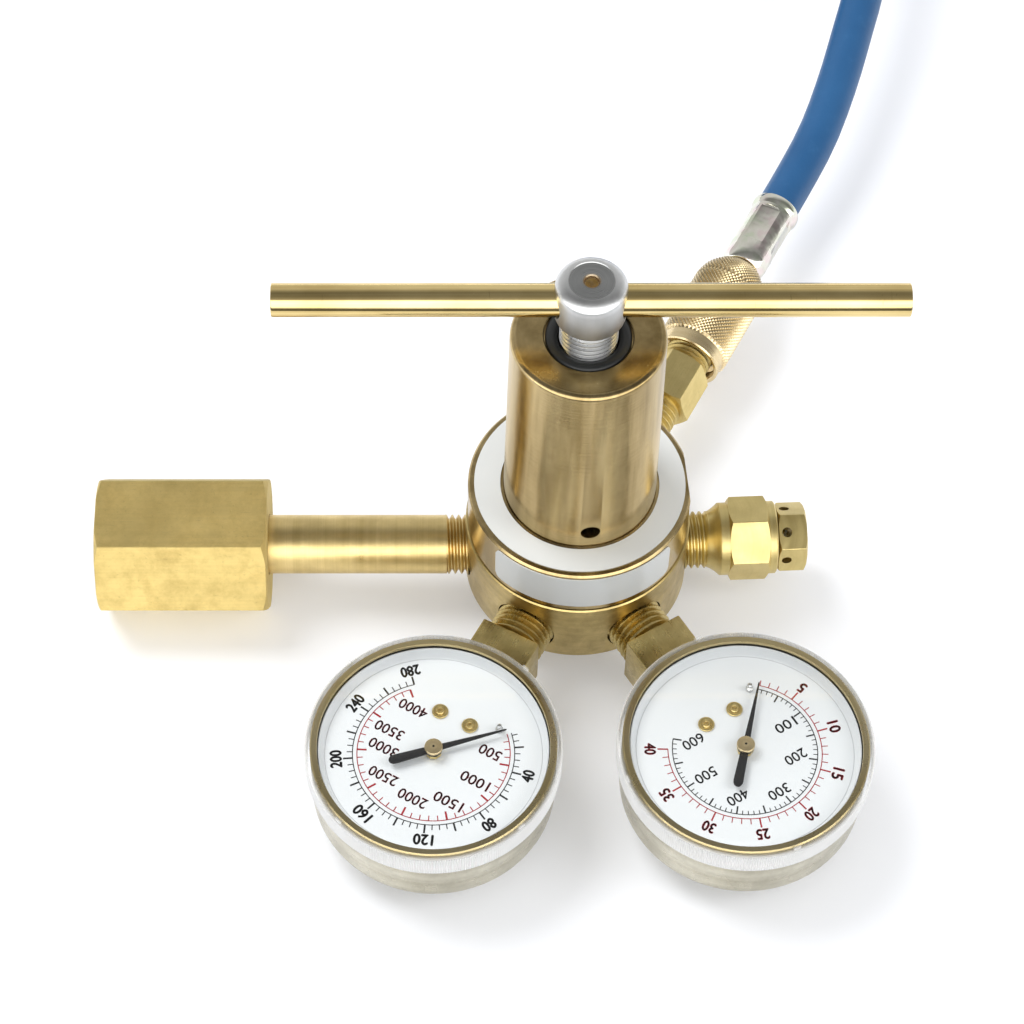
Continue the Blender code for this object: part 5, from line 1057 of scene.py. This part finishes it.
adapterBrass = drawnMetal("adapterBrass", outletPlace, tones["nutLight"], tones["nutDark"], 0.42, 0.12)
finishPiece(makeAdapter(), adapterBrass, "regulator", "outlet_adapter", slot="brass")
bushing = hexBar("outletBushing", outletSize["bushingFlats"], outletSize["bushingStart"], outletSize["bushingEnd"], 0.0006, 0.0, outletPlace)
cutWith(bushing, roundTool(0.0056, 0.02, 0.035, outletPlace))
finishPiece(soften(bushing, 25), adapterBrass, "regulator", "outlet_bushing", slot="brass")
adapterThread = threadPiece("adapterThread", outletSize["thread"], outletSize["threadDepth"], outletSize["pitch"], 0.0290, 9, outletPlace, 40)
finishPiece(adapterThread, adapterBrass, "regulator", slot="brass")
flareThread = threadPiece("flareThread", outletSize["flare"], 0.0007, 0.00127, 0.0549, 9, outletPlace, 40)
finishPiece(flareThread, adapterBrass, "regulator", slot="brass")
print("outlet adapter is made")


# gauges

gaugeSize = {
    "caseRadius": 0.026, "caseBack": 0.0046, "caseCorner": 0.005, "rim": 0.026, "rimInner": 0.0245,
    "lensRadius": 0.02715, "skirtBottom": 0.0195, "skirtTop": 0.0264, "windowTop": 0.0283, "windowRadius": 0.0246,
    "knurls": 320, "knurlDepth": 0.00036, "dialRadius": 0.0244, "dialTop": 0.0224, "stemSide": 0.0135,
    "stemStart": 0.0305, "pipeCrest": 0.0066, "pipeDepth": 0.0009, "pipePitch": 0.00141,
    "pointerHeight": 0.0239, "pointerThickness": 0.0004, "screwDistance": 0.010,
    "screwTurn": 21.0, "pinDistance": 0.0149, "arcLine": 0.0002, "border": 0.02295,
}
# Dial print: angles in degrees, values run clockwise from the zero. A tick is its length and width.
leftGauge = {
    "side": "left", "centre": (-0.03151, -0.05708), "port": -118.9, "distance": 0.0652, "pointer": 16.9, "pin": 21.3,
    "reader": 241.1, "tabs": 43.0,
    "outer": {
        "ink": "black", "zero": 24.2, "perUnit": 1.0, "arc": 0.0171, "arcFrom": 16.2, "first": 10, "last": 280, "step": 5,
        "long": 20, "longTick": (0.0020, 0.00040), "shortTick": (0.0012, 0.00022), "bold": 0.05, "height": 0.0024,
        "digit": 0.00135, "numberEvery": 40, "numberRadius": 0.0206,
    },
    "inner": {
        "ink": "red", "zero": 23.5, "perUnit": 0.06883, "arc": 0.01615, "arcFrom": 16.2, "first": 200, "last": 4000,
        "step": 100, "long": 500, "longTick": (0.0020, 0.00042), "shortTick": (0.0012, 0.00022), "bold": 0.022,
        "height": 0.0024, "digit": 0.00162,
        "numbers": {
            500: (0.4, 0.0119), 1000: (322.4, 0.0110), 1500: (285.0, 0.0120), 2000: (248.1, 0.0117),
            2500: (207.6, 0.0119), 3000: (173.1, 0.0107), 3500: (149.7, 0.0109), 4000: (112.0, 0.0116),
        },
    },
}
rightGauge = {
    "side": "right", "centre": (0.034141, -0.056484), "port": -58.85, "distance": 0.0660, "pointer": 76.7, "pin": 83.5,
    "reader": 301.15, "tabs": 20.0,
    "outer": {
        "ink": "red", "zero": 82.4, "perUnit": 6.583, "arc": 0.01625, "arcFrom": 76.0, "first": 1, "last": 40, "step": 1,
        "long": 5, "longTick": (0.0022, 0.00034), "shortTick": (0.0013, 0.00020), "bold": 0.05, "height": 0.00235,
        "digit": 0.0013, "numberEvery": 5, "numberRadius": 0.0200,
    },
    "inner": {
        "ink": "black", "zero": 82.5, "perUnit": 0.4548, "arc": 0.0153, "arcFrom": 76.5, "first": 20, "last": 600,
        "step": 10, "long": 50, "longTick": (0.0018, 0.00034), "shortTick": (0.0009, 0.00019), "bold": 0.016,
        "height": 0.0023, "digit": 0.00162,
        "numbers": {
            100: (34.3, 0.01085), 200: (351.8, 0.0107), 300: (303.9, 0.0119), 400: (259.6, 0.0114),
            500: (215.0, 0.0104), 600: (169.1, 0.0110),
        },
    },
}
inkBlack, wire, shader = newMaterial("inkBlack", Roughness=0.5)
inkTone = cloudPattern(wire, wire.node("ShaderNodeTexCoord", out=3), 900.0)
plug(wire, shader, Base_Color=blendColour(wire, inkTone, (0.008, 0.008, 0.009, 1), (0.020, 0.020, 0.022, 1)))
inkRed, wire, shader = newMaterial("inkRed", Roughness=0.5)
inkTone = cloudPattern(wire, wire.node("ShaderNodeTexCoord", out=3), 900.0)
plug(wire, shader, Base_Color=blendColour(wire, inkTone, (0.32, 0.010, 0.018, 1), (0.42, 0.018, 0.028, 1)))
inkGrey = plainSurface("inkGrey", (0.50, 0.50, 0.52, 1), 0.5)
inks = {"black": inkBlack, "red": inkRed}
dialPaint = plainSurface("dialPaint", (0.80, 0.82, 0.835, 1), 0.38, 0.0, 0.04, 500.0, 0.02)
pointerPaint = plainSurface("pointerPaint", (0.012, 0.012, 0.013, 1), 0.4, 0.0, 0.05)


def lensPlastic(name, place):
    # Clear over the dial and the shoulder, milky where the fine teeth of the grip scatter the light
    material = bpy.data.materials.new(name)
    material.use_nodes = True
    wire = Wire(material.node_tree)
    shader = material.node_tree.nodes["Principled BSDF"]
    shader.inputs["Base Color"].default_value = (0.97, 0.97, 0.965, 1)
    # painted glow: the milky plastic gives off a faint light of its own
    shader.inputs["Emission Color"].default_value = (1, 1, 1, 1)
    shader.inputs["Emission Strength"].default_value = 0.07
    shader.inputs["Roughness"].default_value = 0.25
    local = localCoords(wire, place)
    parts = wire.node("ShaderNodeSeparateXYZ", None, {0: local})
    x, y = parts, Wire(wire.tree, parts.socket.node.outputs[1])
    z = Wire(wire.tree, parts.socket.node.outputs[2])
    radius = (x * x + y * y) ** 0.5
    haze = cloudPattern(wire, local, 160.0, 4.0)
    grip = ramp(wire, radius, (0.0264, 0.0), (0.0267, 1.0)) * ramp(wire, z, (0.0252, 1.0), (0.0262, 0.25))
    front = 1.0 - wire.node("ShaderNodeNewGeometry", out=6)  # the far side of the plastic mirrors nothing
    edgeOn = wire.node("ShaderNodeFresnel", None, {"IOR": 1.49}) * front
    sheen = wire.node("ShaderNodeBsdfGlossy", None, {"Roughness": 0.06, "Color": (1, 1, 1, 1)})
    through = wire.node("ShaderNodeBsdfTransparent", None, {"Color": (0.985, 0.99, 0.99, 1)})
    clear = wire.node("ShaderNodeMixShader", None, {0: edgeOn, 1: through, 2: sheen})
    share = grip * (0.72 + haze * 0.2)
    mixed = wire.node("ShaderNodeMixShader", None, {0: share, 1: clear, 2: Wire(wire.tree, shader.outputs[0])})
    wire.tree.links.new(mixed.socket, material.node_tree.nodes["Material Output"].inputs["Surface"])
    return material


def gaugeCase(place):
    g = gaugeSize
    corner = g["caseRadius"] - g["caseCorner"]
    rings = [(0.0005, g["caseBack"])]
    for i in range(9):
        angle = math.pi / 2 * i / 8
        rings.append((corner + g["caseCorner"] * math.sin(angle), g["caseBack"] + g["caseCorner"] * (1 - math.cos(angle))))
    inside = g["caseRadius"] - 0.0008
    rings += [
        (g["caseRadius"], g["rim"] - 0.0003), (g["caseRadius"] - 0.0003, g["rim"]), (g["rimInner"] + 0.0001, g["rim"] + 0.0001),
        (g["rimInner"], g["rim"] - 0.0001), (g["rimInner"], g["rim"] - 0.0007), (inside, g["rim"] - 0.0008), (inside, g["caseBack"] + 0.004),
        (inside - 0.004, g["caseBack"] + 0.0009), (0.0005, g["caseBack"] + 0.0009),
    ]
    return turnPiece("case", rings, place, 128)


def gaugeLens(place, tabTurn):
    # One moulding: a flat window, a sloping shoulder and a grip with fine teeth
    g = gaugeSize
    low, high, top = g["skirtBottom"], g["skirtTop"], g["windowTop"]
    rings = [
        (0.0263, low + 0.0004), (g["lensRadius"] - 0.0003, low), (g["lensRadius"], low + 0.0007), (g["lensRadius"], high - 0.0016),
        (g["lensRadius"] - 0.0001, high - 0.0008), (g["lensRadius"] - 0.0006, high - 0.0001), (0.0262, high + 0.0009),
        (g["windowRadius"], top), (0.0120, top), (0.0004, top), (0.0004, top - 0.0012), (0.0120, top - 0.0012),
        (g["windowRadius"], top - 0.0012), (0.0258, high + 0.0001), (0.0263, high - 0.0006), (0.0263, low + 0.0004),
    ]
    piece = latheRings("lens", rings, 2 * g["knurls"], closed=True)
    bpy.ops.object.mode_set(mode="EDIT")
    bpy.ops.mesh.select_all(action="DESELECT")
    bpy.ops.object.mode_set(mode="OBJECT")
    for vert in piece.data.vertices:
        radius = math.hypot(vert.co.x, vert.co.y)
        column = round(math.atan2(vert.co.y, vert.co.x) / math.pi * g["knurls"])
        vert.select = radius > g["lensRadius"] - 0.0002 and vert.co.z < high - 0.0012 and column % 2 == 0
    bpy.ops.object.mode_set(mode="EDIT")
    share = 1 - g["knurlDepth"] / g["lensRadius"]
    bpy.ops.transform.resize(value=(share, share, 1), center_override=(0, 0, 0))
    bpy.ops.object.mode_set(mode="OBJECT")
    tabs = []
    for i in range(4):  # the snap tabs on the shoulder
        turn = Matrix.Rotation(math.radians(tabTurn + 90 * i), 4, "Z")
        tabs.append(blockTool((0.0009, 0.0016, 0.0009), (0.02655, 0, high + 0.0001), turn, 0.0002))
    piece = joinPieces("lens", [piece, *tabs])
    settle(piece, place)
    return soften(piece, 20)


def gaugeStem(gauge, along):
    g = gaugeSize
    reach = gauge["distance"] - g["stemStart"]
    bar = hexBar("stem", g["stemSide"], 0.0249, reach, 0.0, 45.0, along, 0.0003, 4)
    rings = [(0.0057, reach - 0.001), (0.0057, gauge["distance"] - 0.013)]
    neck = settle(latheRings("neck", rings, 64), along)
    piece = joinPieces("stem", [bar, neck])
    thread = threadPiece("stemThread", g["pipeCrest"], g["pipeDepth"], g["pipePitch"], reach - 0.0003, 7, along)
    return piece, thread


def flatMark(size, middle, turn, place):
    deselectAll()
    bpy.ops.mesh.primitive_plane_add(size=1, location=middle)
    mark = bpy.context.object
    mark.scale = (size[0], size[1], 1)
    bpy.ops.object.transform_apply(location=True, rotation=True, scale=True)
    return settle(mark, place @ Matrix.Rotation(turn, 4, "Z"))


def thinArc(radius, width, start, sweep, place):
    # One short line across the width is turned round the middle
    deselectAll()
    bpy.ops.mesh.primitive_plane_add(size=0.001, location=(radius - width / 2, 0, 0))
    arc = bpy.context.object
    bpy.ops.object.transform_apply(location=True)
    bpy.ops.object.mode_set(mode="EDIT")
    bpy.ops.mesh.select_all(action="SELECT")
    bpy.ops.mesh.merge(type="CENTER")
    bpy.ops.mesh.extrude_region_move(TRANSFORM_OT_translate={"value": (width, 0, 0)})
    bpy.ops.object.mode_set(mode="OBJECT")
    applyModifier(arc, "SCREW", axis="Z", screw_offset=0, steps=160, render_steps=160, angle=math.radians(sweep))
    return settle(arc, place @ Matrix.Rotation(math.radians(start), 4, "Z"))


def dialNumber(text, scale, azimuth, radius, up, place):
    # Drawn large, measured, then brought to the height and width of the print
    deselectAll()
    bpy.ops.object.text_add(location=(0, 0, 0))
    words = bpy.context.object
    words.data.body = text
    words.data.resolution_u = 3
    bpy.ops.object.convert(target="MESH")
    number = bpy.context.object
    across = [vert.co.x for vert in number.data.vertices]
    along = [vert.co.y for vert in number.data.vertices]
    left, right, low, high = min(across), max(across), min(along), max(along)
    size = Matrix.Diagonal((len(text) * scale["digit"] / (right - left), scale["height"] / (high - low), 1, 1))
    number.matrix_world = size @ Matrix.Translation((-(left + right) / 2, -(low + high) / 2, 0))
    settle(number)
    bold = scale["bold"] * scale["height"]
    strokes = [number]
    for shift in ((bold, 0, 0), (-bold, 0, 0), (0, bold, 0), (0, -bold, 0)):  # the strokes are thickened all round
        thicker = number.copy()
        thicker.data = number.data.copy()
        bpy.context.scene.collection.objects.link(thicker)
        strokes.append(settle(thicker, Matrix.Translation(shift)))
    number = joinPieces("number", strokes)
    turn = Matrix.Rotation(math.radians(azimuth), 4, "Z")
    tilt = Matrix.Rotation(math.radians(up - azimuth - 90), 4, "Z")
    return settle(number, place @ turn @ Matrix.Translation((radius, 0, 0)) @ tilt)


def dialScale(scale, reader, outwards, place):
    # The arc, its ticks and its numbers in one ink
    zero, unit, radius = scale["zero"], scale["perUnit"], scale["arc"]
    end = zero - unit * scale["last"]
    marks = [thinArc(radius, gaugeSize["arcLine"], end, scale["arcFrom"] - end, place)]
    for value in range(scale["first"], scale["last"] + 1, scale["step"]):
        length, width = scale["longTick"] if value % scale["long"] == 0 else scale["shortTick"]
        middle = radius + (length if outwards else -length) / 2
        marks.append(flatMark((length, width), (middle, 0, 0), math.radians(zero - unit * value), place))
    if "numbers" in scale:  # all upright for the reader
        for value, (azimuth, distance) in scale["numbers"].items():
            marks.append(dialNumber(str(value), scale, azimuth, distance, reader, place))
    else:  # tops outwards, but turned over where that would stand on its head
        every = scale["numberEvery"]
        for value in range(every, scale["last"] + 1, every):
            azimuth = zero - unit * value
            aside = abs((azimuth - reader + 180) % 360 - 180)
            up = azimuth if aside < 98 else azimuth + 180
            marks.append(dialNumber(str(value), scale, azimuth, scale["numberRadius"], up, place))
    return joinPieces(scale["ink"] + "Scale", marks)


pointerShape = [(-0.0098, 0.00022), (-0.00965, 0.00052), (-0.0093, 0.00082), (-0.0088, 0.00102), (-0.0083, 0.00105)]
pointerShape += [(-0.0020, 0.00088), (0.0020, 0.00066), (0.0157, 0.00016), (0.0161, 0.00006)]


def pointerPiece(place):
    # A narrow strip, drawn out from the round end of the tail to the tip
    start, half = pointerShape[0]
    deselectAll()
    bpy.ops.mesh.primitive_plane_add(size=0.001, location=(start, -half, 0))
    arm = bpy.context.object
    bpy.ops.object.transform_apply(location=True)
    bpy.ops.object.mode_set(mode="EDIT")
    bpy.ops.mesh.select_all(action="SELECT")
    bpy.ops.mesh.merge(type="CENTER")
    bpy.ops.mesh.extrude_region_move(TRANSFORM_OT_translate={"value": (0, 2 * half, 0)})
    bpy.ops.mesh.select_all(action="SELECT")
    bpy.ops.mesh.select_mode(type="EDGE")
    for along, wide in pointerShape[1:]:
        bpy.ops.mesh.extrude_region_move(TRANSFORM_OT_translate={"value": (along - start, 0, 0)})
        bpy.ops.transform.resize(value=(1, wide / half, 1), center_override=(0, 0, 0))
        start, half = along, wide
    bpy.ops.mesh.select_mode(type="VERT")
    bpy.ops.mesh.select_all(action="SELECT")
    bpy.ops.mesh.normals_make_consistent(inside=False)
    bpy.ops.object.mode_set(mode="OBJECT")
    if arm.data.polygons[0].normal.z < 0:
        pick(arm)
        bpy.ops.object.mode_set(mode="EDIT")
        bpy.ops.mesh.select_all(action="SELECT")
        bpy.ops.mesh.flip_normals()
        bpy.ops.object.mode_set(mode="OBJECT")
    applyModifier(arm, "SOLIDIFY", thickness=gaugeSize["pointerThickness"], offset=1.0)
    applyModifier(arm, "BEVEL", width=0.00005, segments=2, limit_method="ANGLE", angle_limit=math.radians(50))
    deselectAll()
    bpy.ops.mesh.primitive_circle_add(vertices=40, radius=0.0018, fill_type="NGON", location=(0, 0, 0.00002))
    eye = applyModifier(bpy.context.object, "SOLIDIFY", thickness=gaugeSize["pointerThickness"] - 0.00004, offset=1.0)
    piece = joinPieces("pointer", [arm, eye])
    return soften(settle(piece, place), 30)


def rivetHead(name, place):
    # Tubular rivet: a flat flange, a groove, and the rolled lip round its hollow
    rings = [
        (0.00170, 0.0), (0.00175, 0.00008), (0.00175, 0.00028), (0.00166, 0.00040), (0.00148, 0.00046), (0.00126, 0.00042),
        (0.00110, 0.00030), (0.00100, 0.00030), (0.00092, 0.00050), (0.00078, 0.00064), (0.00062, 0.00066), (0.00046, 0.00056),
        (0.00036, 0.00030), (0.00004, 0.00022),
    ]
    return turnPiece(name, rings, place, 48)


def hubPiece(name, place):
    # Pressed cap over the pointer, its edge rounded
    rings = [
        (0.0009, 0.02457), (0.00180, 0.02457), (0.00190, 0.02463), (0.00192, 0.02475), (0.00192, 0.02510), (0.00189, 0.02522),
        (0.00180, 0.02531), (0.00168, 0.02534), (0.00050, 0.02534), (0.00004, 0.02534),
    ]
    return turnPiece(name, rings, place, 64)


def hubBrass(name, place):
    # Satin brass with a painted highlight round the small centre and painted shade in place of its drilled hole
    material, wire, shader = newMaterial(name, Metallic=1.0)
    local = localCoords(wire, place)
    parts = wire.node("ShaderNodeSeparateXYZ", None, {0: local})
    x, y = parts, Wire(wire.tree, parts.socket.node.outputs[1])
    radius = (x * x + y * y) ** 0.5
    clouds = cloudPattern(wire, local, 700.0, 3.0)
    fine = cloudPattern(wire, local, 6000.0, 2.0)
    centre = ramp(wire, radius, (0.00020, 1.0), (0.00030, 0.0))
    rim = ramp(wire, radius, (0.0006, 1.0), (0.0009, 0.0))
    colour = blendColour(wire, clouds, (0.62, 0.49, 0.27, 1), (0.86, 0.70, 0.42, 1))
    # painted highlight: a lighter ring round the centre; painted shade: the uncut drilled centre is painted near black
    paintedHighlight = blendColour(wire, rim * 0.35, colour, (0.95, 0.80, 0.52, 1))
    paintedHoleShade = blendColour(wire, centre, paintedHighlight, (0.03, 0.022, 0.012, 1))
    bump = wire.node("ShaderNodeBump", None, {"Strength": 0.2, "Distance": 0.00004, "Height": fine})
    plug(wire, shader, Base_Color=paintedHoleShade, Roughness=0.45 + (fine - 0.5) * 0.15, Normal=bump)
    return material


def makeGauge(gauge):
    g = gaugeSize
    side = gauge["side"]
    x, y = gauge["centre"]
    place = Matrix.Translation((x, y, 0))
    needleBody = side + "_needle"
    caseBrass = turnedMetal(side + "CaseBrass", place, tones["caseLight"], tones["caseDark"], 0.24, 0.25, 0.6, 0.3, (0.0236, (0.50, 0.40, 0.20, 1)))
    case = finishPiece(gaugeCase(place), caseBrass, "regulator", side + "_gauge_case", slot="dull_brass")
    case.name = side + "Case"
    lens = finishPiece(gaugeLens(place, gauge["tabs"]), lensPlastic(side + "LensPlastic", place), "regulator", side + "_gauge_lens", slot="clear_plastic")
    lens.name = side + "Lens"

    towards = math.radians(gauge["port"]) + math.pi
    level = Matrix.Translation((x, y, portHeight)) @ Matrix.Rotation(towards, 4, "Z")
    along = level @ Matrix.Rotation(math.pi / 2, 4, "Y")
    stemBrassHere = drawnMetal(side + "StemBrass", along, tones["oliveLight"], tones["oliveDark"], 0.26, 0.25)
    stem, thread = gaugeStem(gauge, along)
    finishPiece(stem, stemBrassHere, "regulator", side + "_gauge_stem", slot="brass").name = side + "Stem"
    finishPiece(thread, stemBrassHere, "regulator", slot="brass").name = side + "StemThread"

    top = g["dialTop"]
    wide, lip = g["dialRadius"], top + 0.0024
    rings = [
        (0.0012, top), (wide - 0.0013, top), (wide - 0.0011, top + 0.0002), (wide - 0.0009, top + 0.0006), (wide - 0.0003, lip),
        (wide - 0.0001, lip), (wide - 0.0006, top - 0.0001), (wide - 0.0009, top - 0.0004), (0.0012, top - 0.0004), (0.0012, top),
    ]
    dial = turnPiece("dial", rings, place, 128, closed=True)
    finishPiece(dial, dialPaint, "regulator", side + "_gauge_dial", slot="dial_white").name = side + "Dial"
    printed = place @ Matrix.Translation((0, 0, top + 0.00003))
    for key, outwards in (("outer", True), ("inner", False)):
        scale = gauge[key]
        marks = finishPiece(dialScale(scale, gauge["reader"], outwards, printed), inks[scale["ink"]], "regulator")
        marks.name = side + key.title() + "Scale"
    border = thinArc(g["border"], 0.00012, 0.0, 360.0, printed)
    finishPiece(border, inkGrey, "regulator").name = side + "DialBorder"

    screwBrass = turnedMetal(side + "ScrewBrass", place, tones["rivetLight"], tones["rivetDark"], 0.30, 0.3, 1.0, 0.15)
    for number, sign in ((1, -1), (2, 1)):
        turn = towards + sign * math.radians(g["screwTurn"])
        spot = Matrix.Translation((x + g["screwDistance"] * math.cos(turn), y + g["screwDistance"] * math.sin(turn), top + 0.0001))
        head = rivetHead("dialScrew", spot)
        finishPiece(head, screwBrass, "regulator", f"{side}_dial_screw_{number}", slot="bright_brass").name = f"{side}DialScrew{number}"
    pinTurn = math.radians(gauge["pin"])
    pinPlace = Matrix.Translation((x + g["pinDistance"] * math.cos(pinTurn), y + g["pinDistance"] * math.sin(pinTurn), top))
    pin = turnPiece("pin", [(0.0008, 0.0), (0.0008, 0.0009), (0.0005, 0.0013), (0.0005, 0.0021), (0.0003, 0.0023), (0.0001, 0.00235)], pinPlace, 24)
    finishPiece(pin, steelScrew, "regulator", side + "_stop_pin", slot="steel").name = side + "StopPin"

    needle = Matrix.Translation((x, y, g["pointerHeight"])) @ Matrix.Rotation(math.radians(gauge["pointer"]), 4, "Z")
    finishPiece(pointerPiece(needle), pointerPaint, needleBody, side + "_pointer", slot="pointer_black").name = side + "Pointer"
    hub = hubPiece("hub", place)
    finishPiece(hub, hubBrass(side + "HubBrass", place), needleBody, slot="bright_brass").name = side + "Hub"
    for node in (side + "_arbor", side + "_movement", side + "_bourdon_tube"):
        cadNodes[node].data.materials.clear()
        cadNodes[node].data.materials.append(screwBrass)
    print(side, "gauge is made")


makeGauge(leftGauge)
makeGauge(rightGauge)


# finishes of the inner pieces that keep their CAD shape

zincInside = turnedMetal("zincInside", upright, tones["zincLight"], tones["zincDark"], 0.28, 0.4, 1.0, 0.15)
brassInside = turnedMetal("brassInside", upright, tones["brightLight"], tones["brassDark"], 0.25, 0.4, 1.0, 0.2)
bronzeInside = plainSurface("sinteredBronze", (0.30, 0.19, 0.09, 1), 0.6, 1.0, 0.6, 1800.0, 0.15)
innerFinishes = {
    "cap_gasket": blackRubber, "valve_seat": brassInside, "poppet": steelScrew, "poppet_spring": steelScrew,
    "diaphragm": blackRubber, "slip_ring": steelScrew, "diaphragm_plate": zincInside, "main_spring": steelScrew,
    "spring_button": zincInside, "inlet_filter": bronzeInside, "relief_poppet": brassInside, "relief_spring": steelScrew,
}
for node, material in innerFinishes.items():
    cadNodes[node].data.materials.clear()
    cadNodes[node].data.materials.append(material)

deselectAll()
print("everything is in place")
